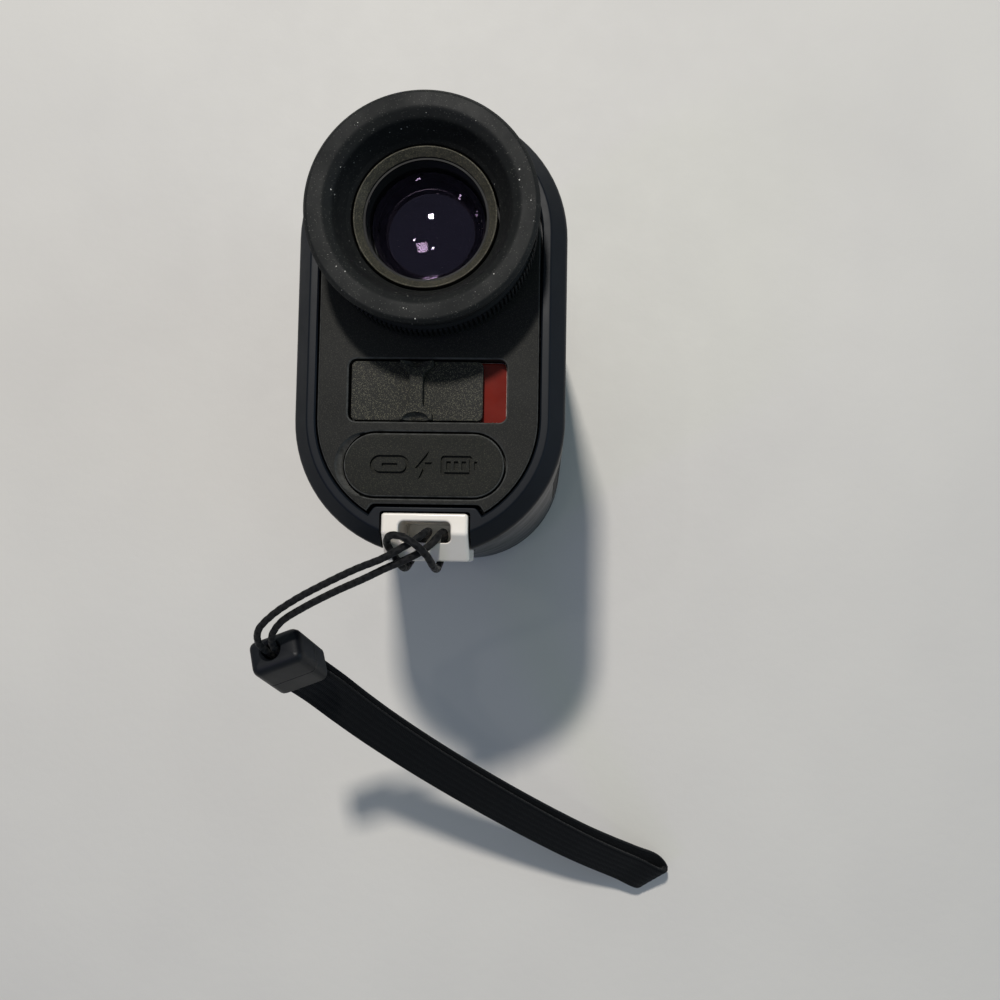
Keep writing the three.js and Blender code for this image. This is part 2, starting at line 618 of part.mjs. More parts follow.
/** A lens barrel with a seat for its lens at the front; shared by objective and emitter. */
function lensBarrel( { r, lens, z0, z1, clear, seat } ) {

	return turned( [
		[ r, z0 ], [ r, z1 ], [ clear, z1 ], [ clear, seat ], [ lens + GAP, seat ], [ lens + GAP, z0 ], [ r, z0 ],
	] );

}

/** A front lens whose crown is `crown` and whose rim starts at `edge`. */
function frontLens( { r, crown, edge, back } ) {

	return turned( [ ...lensFace( r, edge, crown ), [ r, back ], [ 0, back ] ] );

}

function opticalBarrel() {

	const { front, back, wall, z0, z1 } = FUNNEL;
	return turned( [ [ front, z0 ], [ back, z1 ], [ back - wall, z1 ], [ front - wall, z0 ], [ front, z0 ] ] );

}

function prismHolder() {

	const { half, y0, y1, z0, z1, inX, inY } = HOLDER;
	const frame = block( - half, half, y0, y1, z0, z1 );
	return frame.subtract( block( - inX, inX, AXIS_Y - inY, AXIS_Y + inY, z0 - 1, z1 + 1 ) );

}

function roofPrism() {

	const { half, y0, y1, ridge, z0, shoulder, z1 } = PRISM;
	return prismX( [ [ y0, z0 ], [ y1, z0 ], [ y1, shoulder ], [ ridge, z1 ], [ y0, z1 ] ], half );

}

function displayFrame() {

	const { half, open, z0, z1 } = DISPLAY;
	const plate = block( - half, half, AXIS_Y - half, AXIS_Y + half, z0, z1 );
	return plate.subtract( block( - open, open, AXIS_Y - open, AXIS_Y + open, z0 - 1, z1 + 1 ) );

}

function reticleDisplay() {

	const { glass, glassZ0, glassZ1 } = DISPLAY;
	return block( - glass, glass, AXIS_Y - glass, AXIS_Y + glass, glassZ0, glassZ1 );

}

function photodiode() {

	const { x0, x1, half, z0, z1 } = PHOTODIODE;
	return block( x0, x1, AXIS_Y - half, AXIS_Y + half, z0, z1 );

}

function laserDiode() {

	const { can, base, z0, step, z1, sides } = DIODE;
	const profile = [ [ 0, z0 ], [ can, z0 ], [ can, step ], [ base, step ], [ base, z1 ], [ 0, z1 ] ];
	return turned( profile, 0, sides );

}

// ---------------------------------------------------------------------------
// Inner frame and electronics
// ---------------------------------------------------------------------------

/** Places of the four board screws as [ x, z ]. */
const SCREW_PLACES = [ SCREW.low, SCREW.high ].flatMap( ( z ) => [ [ - SCREW.x, z ], [ SCREW.x, z ] ] );

/** The clearance hole of a board screw. */
function screwHole( x, z ) {

	return pinY( SCREW.shank + GAP, BOARD.y0 - 5, CHASSIS.y1 + 5, x, z );

}

function chassis() {

	const { half, y0, y1, z0, z1 } = CHASSIS;
	const inner = half - RAIL.wide;
	let frame = block( - half, half, y0, y1, z0, z1 );
	for ( const [ x0, x1 ] of [ [ - half, - inner ], [ inner, half ] ] ) {

		frame = frame.add( block( x0, x1, y0, RAIL.y1, RAIL.z0, RAIL.z1 ) );

	}

	for ( const [ x, z ] of SCREW_PLACES ) {

		frame = frame.add( pinY( SCREW.post, BOARD.y1 + GAP, y1, x, z ) ).subtract( screwHole( x, z ) );

	}

	return frame;

}

/** A plain board centred on X = 0. */
function boardOf( { half, y0, y1, z0, z1 } ) {

	return block( - half, half, y0, y1, z0, z1 );

}

function mainBoard() {

	let board = block( - BOARD.half, BOARD.half, BOARD.y0, BOARD.y1, BOARD.z0, BOARD.z1 );
	for ( const [ wide, z0, z1 ] of CHIPS ) {

		board = board.add( block( - wide, wide, BOARD.y0 - CHIP_HIGH, BOARD.y1, z0, z1 ) );

	}

	for ( const [ x, z ] of SCREW_PLACES ) board = board.subtract( screwHole( x, z ) );

	return board;

}

function boardScrew( [ x, z ] ) {

	const top = BOARD.y0 - GAP;
	const head = pinY( SCREW.head, top - SCREW.headHigh, top, x, z );
	return head.add( pinY( SCREW.shank, top - SCREW.headHigh / 2, CHASSIS.y1, x, z ) );

}

function batteryCell() {

	const { y, reach, r, z0, z1 } = BATTERY;
	return prism( slotOutline( 0, y, reach, r ), z0, z1 );

}

// ---------------------------------------------------------------------------
// Wrist strap
// ---------------------------------------------------------------------------

/** Points of three numbers as vectors. */
const vectors = ( list ) => list.map( ( p ) => new THREE.Vector3( ...p ) );

/** An outline of a round section with n sides. */
function roundSection( r, n ) {

	const points = [];
	for ( let i = 0; i < n; i ++ ) {

		const angle = 2 * Math.PI * i / n;
		points.push( new THREE.Vector2( r * Math.cos( angle ), r * Math.sin( angle ) ) );

	}

	return new THREE.Shape( points );

}

function strapCord() {

	const path = new THREE.CatmullRomCurve3( vectors( CORD_ROUTE ) );
	const options = { steps: CORD_STEPS, bevelEnabled: false, extrudePath: path };
	return solid( new THREE.ExtrudeGeometry( roundSection( CORD / 2, CORD_SIDES ), options ) );

}

/** A loop of webbing whose width follows the crimp's at the start and turns towards the fold's. */
class WebbingPath extends THREE.CatmullRomCurve3 {

	computeFrenetFrames( segments ) {

		const frames = { tangents: [], normals: [], binormals: [] };
		for ( let i = 0; i <= segments; i ++ ) {

			const tangent = this.getTangentAt( i / segments );
			const down = 1 - Math.abs( 2 * i / segments - 1 );
			const across = CRIMP_W.clone().lerp( WEBBING_END_W, down );
			across.addScaledVector( tangent, - across.dot( tangent ) ).normalize();
			frames.tangents.push( tangent );
			frames.normals.push( across );
			frames.binormals.push( new THREE.Vector3().crossVectors( tangent, across ) );

		}

		return frames;

	}

}

function webbingPoints() {

	const middle = new THREE.CatmullRomCurve3( vectors( WEBBING_ROUTE ) );
	const legs = [ [], [] ];
	for ( let i = 0; i <= LEG_STEPS; i ++ ) {

		const t = i / LEG_STEPS;
		const tangent = middle.getTangentAt( t );
		const across = CRIMP_W.clone().lerp( WEBBING_END_W, t );
		const face = new THREE.Vector3().crossVectors( tangent, across ).normalize();
		const opening = ( WEBBING.fold - WEBBING.thick ) * WEBBING.spread * t ** 2;
		const apart = ( WEBBING.thick + WEBBING.nip ) / 2 + opening;
		legs[ 0 ].push( middle.getPointAt( t ).addScaledVector( face, apart ) );
		legs[ 1 ].push( middle.getPointAt( t ).addScaledVector( face, - apart ) );

	}

	const nose = middle.getPointAt( 1 ).addScaledVector( middle.getTangentAt( 1 ), WEBBING.fold );
	return [ ...legs[ 0 ], nose, ...legs[ 1 ].reverse() ];

}

function strapWebbing() {

	const path = new WebbingPath( webbingPoints() );
	const section = new THREE.Shape( [ [ - 1, - 1 ], [ 1, - 1 ], [ 1, 1 ], [ - 1, 1 ] ].map(
		( [ x, y ] ) => new THREE.Vector2( x * WEBBING.wide / 2, y * WEBBING.thick / 2 ) ) );
	const options = { steps: WEBBING_STEPS, bevelEnabled: false, extrudePath: path };
	return solid( new THREE.ExtrudeGeometry( section, options ) );

}

/** The crimp in its own frame: X across, Y through its broad face, Z towards the webbing. */
function strapCrimp() {

	const { wide, high, long, round } = CRIMP;
	const shape = new THREE.Shape( [
		[ wide / 2 - round, - high / 2 ], [ wide / 2, round - high / 2 ], [ wide / 2, high / 2 - round ],
		[ wide / 2 - round, high / 2 ], [ round - wide / 2, high / 2 ], [ - wide / 2, high / 2 - round ],
		[ - wide / 2, round - high / 2 ], [ round - wide / 2, - high / 2 ],
	].map( ( [ x, y ] ) => new THREE.Vector2( x, y ) ) );
	const body = prism( shape, - long / 2, long / 2 );
	const hole = disc( CRIMP_HOLE.r, - long, CRIMP_HOLE.deep - long / 2, CRIMP_HOLE.x, CRIMP_HOLE.y );
	const pocket = block( - CRIMP_POCKET.wide, CRIMP_POCKET.wide, - CRIMP_POCKET.half, CRIMP_POCKET.half,
		long / 2 - CRIMP_POCKET.deep, long );
	return body.subtract( hole ).subtract( pocket );

}

// ---------------------------------------------------------------------------
// Assembly
// ---------------------------------------------------------------------------

const group = new THREE.Group();

const shellParts = [
	[ 'main_housing', mainHousing(), 'shell' ],
	[ 'rear_panel', rearPanel(), 'panel' ],
	[ 'front_bezel', frontBezel(), 'shell' ],
	[ 'left_grip', grip( - 1 ), 'rubber' ],
	[ 'right_grip', grip( 1 ), 'rubber' ],
	[ 'rear_gasket', rearGasket(), 'rubber' ],
	[ 'front_seal', frontSeal(), 'rubber' ],
	[ 'lanyard_lug', lanyardLug(), 'white' ],
];

const controls = [
	[ 'power_button', button( POWER ), 'rubber' ],
	[ 'mode_button', button( MODE ), 'rubber' ],
	[ 'power_switch', tactSwitch( POWER ), 'metal' ],
	[ 'mode_switch', tactSwitch( MODE ), 'metal' ],
	[ 'button_board', boardOf( KEYBOARD ), 'board' ],
	[ 'slope_slider', slopeSlider(), 'slider' ],
	[ 'slider_track', sliderTrack(), 'black' ],
	[ 'red_indicator', redIndicator(), 'red' ],
	[ 'slide_switch', slideSwitch(), 'metal' ],
	[ 'switch_knob', switchKnob(), 'black' ],
	[ 'port_cover', portCover(), 'rubber' ],
	[ 'usb_receptacle', usbReceptacle(), 'metal' ],
	[ 'usb_board', boardOf( USB_BOARD ), 'board' ],
];

const eyepieceParts = [
	[ 'eyecup', eyecup(), 'rubber' ],
	[ 'dioptre_ring', dioptreRing(), 'rubber' ],
	[ 'eyepiece_tube', eyepieceTube(), 'black' ],
	[ 'eyepiece_seal', ring( EYE_SEAL.r0, EYE_SEAL.r1, SEAL.z0, SEAL.z1 ), 'rubber' ],
	[ 'ocular_cell', ocularCell(), 'black' ],
	[ 'ocular_ring', ring( OCULAR_RING.r0, OCULAR_RING.r1, OCULAR_RING.z0, OCULAR_RING.z1 ), 'ring' ],
	[ 'eye_lens', eyeLens(), 'glass' ],
	[ 'field_lens', fieldLens(), 'glass' ],
	[ 'objective_cell', lensBarrel( OBJECTIVE ), 'black' ],
	[ 'objective_lens', frontLens( OBJECTIVE_LENS ), 'glass' ],
	[ 'objective_retainer', ring( RETAINER.r0, RETAINER.r1, RETAINER.z0, RETAINER.z1 ), 'black' ],
	[ 'optical_barrel', opticalBarrel(), 'black' ],
];

const emitterParts = [
	[ 'emitter_barrel', lensBarrel( EMITTER ), 'black' ],
	[ 'emitter_lens', frontLens( EMITTER_LENS ), 'glass' ],
	[ 'laser_diode', laserDiode(), 'metal' ],
];

const inside = [
	[ 'prism_holder', prismHolder(), 'black' ],
	[ 'roof_prism', roofPrism(), 'glass' ],
	[ 'display_frame', displayFrame(), 'black' ],
	[ 'reticle_display', reticleDisplay(), 'glass' ],
	[ 'laser_board', boardOf( LASER_BOARD ), 'board' ],
	[ 'photodiode', photodiode(), 'metal' ],
	[ 'chassis', chassis(), 'chassis' ],
	[ 'main_board', mainBoard(), 'board' ],
	[ 'battery_cell', batteryCell(), 'battery' ],
	...SCREW_PLACES.map( ( place, i ) => [ `board_screw_${ i + 1 }`, boardScrew( place ), 'metal' ] ),
];

const strap = [
	[ 'strap_cord', strapCord(), 'cord' ],
	[ 'strap_webbing', strapWebbing(), 'webbing' ],
];

/** Adds a list of [ name, solid, finish ] to a group at a place on the body. */
function addAll( parts, y = 0 ) {

	const holder = new THREE.Group();
	holder.position.set( 0, y, 0 );
	for ( const [ name, shape, finish ] of parts ) holder.add( meshOf( name, shape, finish ) );
	group.add( holder );

}

addAll( shellParts );
addAll( controls );
addAll( eyepieceParts, AXIS_Y );
addAll( emitterParts, EMITTER.y );
addAll( inside );
addAll( strap );

const crimp = meshOf( 'strap_crimp', strapCrimp(), 'black' );
crimp.position.copy( CRIMP_AT );
crimp.quaternion.setFromRotationMatrix( new THREE.Matrix4().makeBasis( CRIMP_W, CRIMP_N, CRIMP_T ) );
group.add( crimp );

export default group;
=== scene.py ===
"""Looks of a pocket laser rangefinder that stands on its front bezel, with its wrist strap.

Each class is one sub-assembly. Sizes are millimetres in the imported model's frame, where +Z points
out of the eyepiece, +Y to the button side and X is the width. A finished mesh is scaled to metres once.
"""

import json
import logging
import math
from bisect import bisect_right
from collections.abc import Callable, Sequence
from dataclasses import dataclass, field
from enum import Enum
from typing import ClassVar

import bmesh
import bpy
from bmesh.types import BMesh
from mathutils import Matrix, Vector


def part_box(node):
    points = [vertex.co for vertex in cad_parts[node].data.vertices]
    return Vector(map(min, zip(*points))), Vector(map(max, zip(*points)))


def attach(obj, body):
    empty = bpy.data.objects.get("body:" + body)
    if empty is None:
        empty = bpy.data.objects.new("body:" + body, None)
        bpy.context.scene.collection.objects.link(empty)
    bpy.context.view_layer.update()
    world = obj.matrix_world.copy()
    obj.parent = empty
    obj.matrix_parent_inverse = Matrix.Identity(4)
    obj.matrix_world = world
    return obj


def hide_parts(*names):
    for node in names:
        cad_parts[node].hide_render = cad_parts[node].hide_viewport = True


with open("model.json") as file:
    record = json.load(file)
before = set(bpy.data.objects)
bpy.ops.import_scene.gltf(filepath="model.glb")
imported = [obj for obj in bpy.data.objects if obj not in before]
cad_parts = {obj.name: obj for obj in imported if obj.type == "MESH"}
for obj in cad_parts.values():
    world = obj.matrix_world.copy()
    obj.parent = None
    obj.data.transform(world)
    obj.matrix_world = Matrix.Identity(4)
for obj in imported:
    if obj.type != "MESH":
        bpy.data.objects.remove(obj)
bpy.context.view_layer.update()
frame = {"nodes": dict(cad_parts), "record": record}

LOG = logging.getLogger("rangefinder")
MM = 0.001
MERGE = 1e-4
TINY = 0.02
CUT_LOW = 80.0
CUT_HIGH = 95.0
BEYOND = 45.0

Point = tuple[float, float]
Corner = tuple[float, float, float]
Colour = tuple[float, float, float]
Socket = bpy.types.NodeSocket
Value = Socket | float | tuple[float, ...]


class Body(Enum):
    """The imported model's bodies that pieces ride on."""

    MAIN = "body"
    POWER_KEY = "power_key"
    MODE_KEY = "mode_key"
    DIOPTRE = "dioptre"
    OCULAR = "ocular"
    SLOPE = "slope_switch"
    COVER = "cover"


class Join(Enum):
    """Ways to combine two solids."""

    CUT = "DIFFERENCE"
    ADD = "UNION"
    COMMON = "INTERSECT"


# ---------------------------------------------------------------------------
# Measures
# ---------------------------------------------------------------------------


@dataclass(frozen=True)
class Span:
    """The box of a CAD node, in millimetres."""

    x0: float
    x1: float
    y0: float
    y1: float
    z0: float
    z1: float

    @classmethod
    def of(cls, node: str) -> "Span":
        """Measure a CAD node.

        Args:
            node: The node's name.

        Returns:
            Its box at rest.
        """
        low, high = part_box(node)
        return cls(*(value / MM for pair in zip(low, high) for value in pair))

    @property
    def mid_x(self) -> float:
        """Middle across the width."""
        return (self.x0 + self.x1) / 2

    @property
    def mid_y(self) -> float:
        """Middle along Y."""
        return (self.y0 + self.y1) / 2

    @property
    def half_x(self) -> float:
        """Half of the width."""
        return (self.x1 - self.x0) / 2

    @property
    def half_y(self) -> float:
        """Half of the depth along Y."""
        return (self.y1 - self.y0) / 2


def measured(node: str) -> Span:
    """Make a dataclass field that holds a node's box."""
    return field(default_factory=lambda: Span.of(node))


def srgb(red: int, green: int, blue: int) -> Colour:
    """Turn a screen colour into a linear one.

    Args:
        red: Red from 0 to 255.
        green: Green from 0 to 255.
        blue: Blue from 0 to 255.

    Returns:
        The linear colour.
    """
    shares = (red / 255, green / 255, blue / 255)
    return tuple(s / 12.92 if s <= 0.04045 else ((s + 0.055) / 1.055) ** 2.4 for s in shares)


# ---------------------------------------------------------------------------
# Outlines and solids
# ---------------------------------------------------------------------------


def rounded(corners: Sequence[Corner], closed: bool, steps: int = 4) -> list[Point]:
    """Replace the corners of a line by arcs.

    Args:
        corners: Each corner's two coordinates and its radius; a radius of 0 keeps it sharp.
        closed: Whether the last corner joins the first.
        steps: Steps in each arc.

    Returns:
        The points of the line in order.
    """
    points: list[Point] = []
    count = len(corners)
    for index, (x, y, radius) in enumerate(corners):
        if radius <= 0 or (not closed and index in (0, count - 1)):
            points.append((x, y))
            continue
        here = Vector((x, y))
        back = (Vector(corners[index - 1][:2]) - here).normalized()
        ahead = (Vector(corners[(index + 1) % count][:2]) - here).normalized()
        half = back.angle(ahead) / 2
        centre = here + (back + ahead).normalized() * radius / math.sin(half)
        start = here + back * radius / math.tan(half) - centre
        end = here + ahead * radius / math.tan(half) - centre
        turn = math.copysign(math.pi - 2 * half, start.x * end.y - start.y * end.x)
        for step in range(steps + 1):
            spot = centre + Matrix.Rotation(turn * step / steps, 2) @ start
            points.append((spot.x, spot.y))
    return points


class Outline:
    """A closed outline, counter-clockwise, that can be drawn larger or smaller by a margin."""

    def points(self, grow: float = 0.0) -> list[Point]:
        """Draw the outline.

        Args:
            grow: How far every edge moves outwards.

        Returns:
            Its points in order.
        """
        raise NotImplementedError


@dataclass(frozen=True)
class Stadium(Outline):
    """Two half circles joined by straights, upright or lying; a reach of 0 is a circle."""

    x: float
    y: float
    reach: float
    radius: float
    upright: bool = False
    steps: int = 20

    def points(self, grow: float = 0.0) -> list[Point]:
        """Draw the outline, counter-clockwise from the +X end or the lower right.

        Args:
            grow: How far every edge moves outwards.

        Returns:
            Its points in order.
        """
        radius = self.radius + grow
        line: list[Point] = []
        for side in (1, -1):
            first = (0.0 if self.upright else -math.pi / 2) + (0.0 if side > 0 else math.pi)
            shift = side * self.reach
            x, y = (self.x, self.y + shift) if self.upright else (self.x + shift, self.y)
            for step in range(self.steps + (self.reach > 0)):
                angle = first + math.pi * step / self.steps
                line.append((x + radius * math.cos(angle), y + radius * math.sin(angle)))
        return line


@dataclass(frozen=True)
class Cornered(Outline):
    """A polygon with rounded corners, each corner as x, y and radius."""

    corners: tuple[Corner, ...]
    steps: int = 4

    def points(self, grow: float = 0.0) -> list[Point]:
        """Draw the outline, its outer corners growing rounder and its inner ones sharper.

        Args:
            grow: How far every edge moves outwards.

        Returns:
            Its points in order.
        """
        moved: list[Corner] = []
        count = len(self.corners)
        for index, (x, y, radius) in enumerate(self.corners):
            here = Vector((x, y))
            before = (here - Vector(self.corners[index - 1][:2])).normalized()
            after = (Vector(self.corners[(index + 1) % count][:2]) - here).normalized()
            out = Vector((before.y + after.y, -before.x - after.x))
            spot = here + out * grow / (1 + before.dot(after))
            bend = math.copysign(1, before.x * after.y - before.y * after.x)
            moved.append((spot.x, spot.y, max(radius + bend * grow, TINY)))
        return rounded(moved, True, self.steps)


def rectangle(x: Point, y: Point, radius: float) -> Cornered:
    """Make a rectangle with rounded corners.

    Args:
        x: Its lowest and highest x.
        y: Its lowest and highest y.
        radius: Radius of its corners.

    Returns:
        The outline.
    """
    spots = ((x[0], y[0]), (x[1], y[0]), (x[1], y[1]), (x[0], y[1]))
    return Cornered(tuple((a, b, radius) for a, b in spots))


def close_up(shape: BMesh) -> BMesh:
    """Merge doubles and turn every face outwards.

    Args:
        shape: The mesh to close.

    Returns:
        The same mesh.
    """
    bmesh.ops.remove_doubles(shape, verts=shape.verts, dist=MERGE)
    bmesh.ops.recalc_face_normals(shape, faces=shape.faces)
    if shape.calc_volume(signed=True) < 0:
        bmesh.ops.reverse_faces(shape, faces=shape.faces)
    return shape


def loft(outline: Outline, levels: Sequence[Point], ring: bool = False) -> BMesh:
    """Join copies of an outline into a closed solid.

    Args:
        outline: The outline to copy.
        levels: Each copy's margin and height.
        ring: Whether the last copy joins the first, where both would otherwise be capped.

    Returns:
        The solid.
    """
    rows, count = len(levels), len(outline.points(levels[0][0]))
    shape = bmesh.new()
    verts = [shape.verts.new((index + 1, 0, 0)) for index in range(count)]
    edges = [shape.edges.new(pair) for pair in zip(verts, verts[1:] + verts[:1])]
    rise, angle, steps = ((0, 0, 0), 2 * math.pi, rows) if ring else ((0, 0, 1), 0.0, rows - 1)
    bmesh.ops.spin(shape, geom=verts + edges, cent=(0, 0, 0), axis=(0, 0, 1), dvec=rise, angle=angle,
                   steps=steps, use_merge=ring, use_duplicate=False)
    grid: list[dict[int, bmesh.types.BMVert]] = [{} for _ in levels]
    for vert in shape.verts:
        turn = math.atan2(vert.co.y, vert.co.x) * rows / (2 * math.pi)
        grid[round(turn if ring else vert.co.z) % rows][round(vert.co.xy.length) - 1] = vert
    for row, (grow, height) in zip(grid, levels):
        for index, (x, y) in enumerate(outline.points(grow)):
            row[index].co = (x, y, height)
    if not ring:
        for row in (grid[0], grid[-1]):
            shape.faces.new([row[index] for index in range(count)])
    return close_up(shape)


def slab(low: float, high: float, edge: float, foot: float = 0.0) -> list[Point]:
    """Give the levels of a plate with rounded rims.

    Args:
        low: Height of its underside.
        high: Height of its top.
        edge: Radius of its top rim.
        foot: Radius of its lower rim; 0 keeps it sharp.

    Returns:
        The levels for a loft.
    """
    corners = [(-2 * foot, low, 0.0), (0.0, low, foot)] if foot else [(0.0, low, 0.0)]
    corners += [(0.0, high, edge), (-2 * edge, high, 0.0)]
    return rounded(corners, closed=False)


def pocket(floor: float, surface: float, chamfer: float) -> list[Point]:
    """Give the levels of a cutter that leaves a chamfered rim.

    Args:
        floor: Height of the cut's floor.
        surface: Height of the face that it opens in.
        chamfer: Width of the chamfer.

    Returns:
        The levels for a loft.
    """
    spare = 0.2 * chamfer
    wide = chamfer + spare
    return [(0, floor), (0, surface - chamfer), (wide, surface + spare), (wide, surface + 2)]


def groove(outline: Outline, line: float, low: float, high: float) -> BMesh:
    """Make the cutter of a groove that runs just inside an outline.

    Args:
        outline: The outline.
        line: Width of the groove.
        low: Height of its floor.
        high: Height of the cutter's top.

    Returns:
        The cutter.
    """
    return loft(outline, [(0, low), (0, high), (-line, high), (-line, low)], ring=True)


def turned(profile: Sequence[Point], y: float = 0.0, steps: int = 96) -> BMesh:
    """Spin a profile round an upright axis.

    Args:
        profile: Points as radius and height; it closes on itself or on the axis.
        y: Where the axis stands along Y.
        steps: Steps in the full turn.

    Returns:
        The solid.
    """
    shape = bmesh.new()
    verts = [shape.verts.new((radius, y, height)) for radius, height in profile]
    on_axis = profile[0][0] == 0 and profile[-1][0] == 0
    ends = verts[1:] if on_axis else verts[1:] + verts[:1]
    edges = [shape.edges.new(pair) for pair in zip(verts, ends)]
    bmesh.ops.spin(shape, geom=verts + edges, cent=(0, y, 0), axis=(0, 0, 1), dvec=(0, 0, 0),
                   angle=2 * math.pi, steps=steps, use_merge=True, use_duplicate=False)
    return close_up(shape)


def ball(centre: Vector, radii: Vector) -> BMesh:
    """Make an ellipsoid.

    Args:
        centre: Its middle.
        radii: Its three radii.

    Returns:
        The solid.
    """
    shape = bmesh.new()
    bmesh.ops.create_uvsphere(shape, u_segments=32, v_segments=16, radius=1)
    bmesh.ops.scale(shape, vec=radii, verts=shape.verts)
    bmesh.ops.translate(shape, vec=centre, verts=shape.verts)
    return shape


def placed(shape: BMesh, matrix: Matrix) -> BMesh:
    """Move a shape.

    Args:
        shape: The shape.
        matrix: The move.

    Returns:
        The same shape.
    """
    bmesh.ops.transform(shape, matrix=matrix, verts=shape.verts)
    return shape


def gather(target: BMesh, part: BMesh) -> None:
    """Add a shape to another without joining their faces.

    Args:
        target: The shape that grows.
        part: The shape to add, which is used up.
    """
    mesh = bpy.data.meshes.new("working")
    part.to_mesh(mesh)
    part.free()
    target.from_mesh(mesh)
    bpy.data.meshes.remove(mesh)


# Turns that take a shape's own Z to the frame's X or Y; the outline then lies in (y, z) or (x, z).
ALONG_X = Matrix(((0, 0, 1, 0), (1, 0, 0, 0), (0, 1, 0, 0), (0, 0, 0, 1)))
ALONG_Y = Matrix(((-1, 0, 0, 0), (0, 0, 1, 0), (0, 1, 0, 0), (0, 0, 0, 1)))


def stand_in(shape: BMesh) -> bpy.types.Object:
    """Turn a shape into a scene object for a modifier.

    Args:
        shape: The shape, which is used up.

    Returns:
        The object.
    """
    mesh = bpy.data.meshes.new("working")
    shape.to_mesh(mesh)
    shape.free()
    obj = bpy.data.objects.new("working", mesh)
    bpy.context.scene.collection.objects.link(obj)
    return obj


def combine(base: BMesh, tools: Sequence[BMesh], how: Join) -> BMesh:
    """Combine a solid with others.

    Args:
        base: The solid to work on, which is used up.
        tools: The other solids, which are used up.
        how: The way to combine them.

    Returns:
        The result.
    """
    target = stand_in(base)
    helpers = [stand_in(tool) for tool in tools]
    for helper in helpers:
        modifier = target.modifiers.new("combine", "BOOLEAN")
        modifier.operation = how.value
        modifier.solver = "MANIFOLD"
        modifier.object = helper
    result = bmesh.new()
    result.from_object(target, bpy.context.evaluated_depsgraph_get())
    for obj in (target, *helpers):
        mesh = obj.data
        bpy.data.objects.remove(obj)
        bpy.data.meshes.remove(mesh)
    return result


def soften(shape: BMesh, width: float, where: Callable[[Vector], bool] | None = None,
           segments: int = 2, angle: float = 35) -> BMesh:
    """Round the sharp edges of a solid.

    Args:
        shape: The solid.
        width: Width of the rounding.
        where: Keeps only the edges whose middle it accepts.
        segments: Steps across the rounding.
        angle: The smallest bend that counts as sharp, in degrees.

    Returns:
        The same solid.
    """
    limit = math.radians(angle)
    edges = [e for e in shape.edges if e.is_manifold and e.calc_face_angle(0) > limit]
    if where:
        edges = [e for e in edges if where((e.verts[0].co + e.verts[1].co) / 2)]
    bmesh.ops.bevel(shape, geom=edges, offset=width, offset_type="OFFSET", segments=segments,
                    profile=0.5, affect="EDGES", clamp_overlap=False, material=-1)
    return shape


# ---------------------------------------------------------------------------
# Node trees
# ---------------------------------------------------------------------------


class Graph:
    """A node tree with short ways to add and join nodes."""

    def __init__(self, tree: bpy.types.NodeTree) -> None:
        """Work on a tree."""
        self.tree = tree

    def feed(self, socket: Socket, value: Value) -> None:
        """Link a socket to another or set it to a constant.

        Args:
            socket: The input.
            value: What goes into it.
        """
        if isinstance(value, bpy.types.NodeSocket):
            self.tree.links.new(value, socket)
        elif isinstance(value, tuple) and len(value) == 3 and socket.type == "RGBA":
            socket.default_value = (*value, 1.0)
        else:
            socket.default_value = value

    def add(self, kind: str, inputs: dict[str | int, Value] | None = None,
            **settings: object) -> bpy.types.Node:
        """Add a node.

        Args:
            kind: The node's type name.
            inputs: Constants or sockets for its inputs.
            settings: Its own properties.

        Returns:
            The node.
        """
        node = self.tree.nodes.new(kind)
        for name, value in settings.items():
            setattr(node, name, value)
        for key, value in (inputs or {}).items():
            self.feed(node.inputs[key], value)
        return node

    def maths(self, operation: str, first: Value, second: Value = 0.0) -> Socket:
        """Add a maths node.

        Args:
            operation: What it does.
            first: Its first value.
            second: Its second value.

        Returns:
            The result.
        """
        return self.add("ShaderNodeMath", {0: first, 1: second}, operation=operation).outputs[0]

    def wave(self, value: Value) -> Socket:
        """Make a row of humps from 0 to 1, one to each whole number."""
        turn = self.maths("MULTIPLY", value, math.pi)
        return self.maths("ABSOLUTE", self.maths("SINE", turn))

    def blend(self, share: Value, first: Value, second: Value) -> Socket:
        """Mix two colours.

        Args:
            share: How much of the second is in the mix.
            first: The first colour.
            second: The second colour.

        Returns:
            The mixed colour.
        """
        return self.add("ShaderNodeMix", {0: share, 6: first, 7: second}, data_type="RGBA").outputs[2]

    def rescale(self, value: Value, low: float, high: float,
                first: float = 0.0, last: float = 1.0) -> Socket:
        """Map a range of values onto another, held at its ends.

        Args:
            value: The value to map.
            low: Start of its range.
            high: End of its range.
            first: What low becomes.
            last: What high becomes.

        Returns:
            The mapped value.
        """
        ends = {1: low, 2: high, 3: first, 4: last}
        return self.add("ShaderNodeMapRange", {0: value, **ends}).outputs[0]

    def noise(self, vector: Value, scale: Value,
              detail: float = 3.0, roughness: float = 0.55) -> Socket:
        """Add a noise texture and return its value."""
        inputs = {"Vector": vector, "Scale": scale, "Detail": detail, "Roughness": roughness}
        return self.add("ShaderNodeTexNoise", inputs).outputs[0]

    def cells(self, vector: Value, scale: Value) -> tuple[Socket, Socket]:
        """Add a cell texture.

        Args:
            vector: Where it is read.
            scale: Cells to the metre.

        Returns:
            The distance from each cell's point, and the cell's own random value.
        """
        node = self.add("ShaderNodeTexVoronoi", {"Vector": vector, "Scale": scale})
        split = self.add("ShaderNodeSeparateColor", {0: node.outputs["Color"]})
        return node.outputs["Distance"], split.outputs[0]

    def use(self, group: bpy.types.NodeTree, inputs: dict[str, Value]) -> bpy.types.Node:
        """Place a shared effect.

        Args:
            group: The effect's tree.
            inputs: Its values.

        Returns:
            The group node.
        """
        return self.add("ShaderNodeGroup", inputs, node_tree=group)


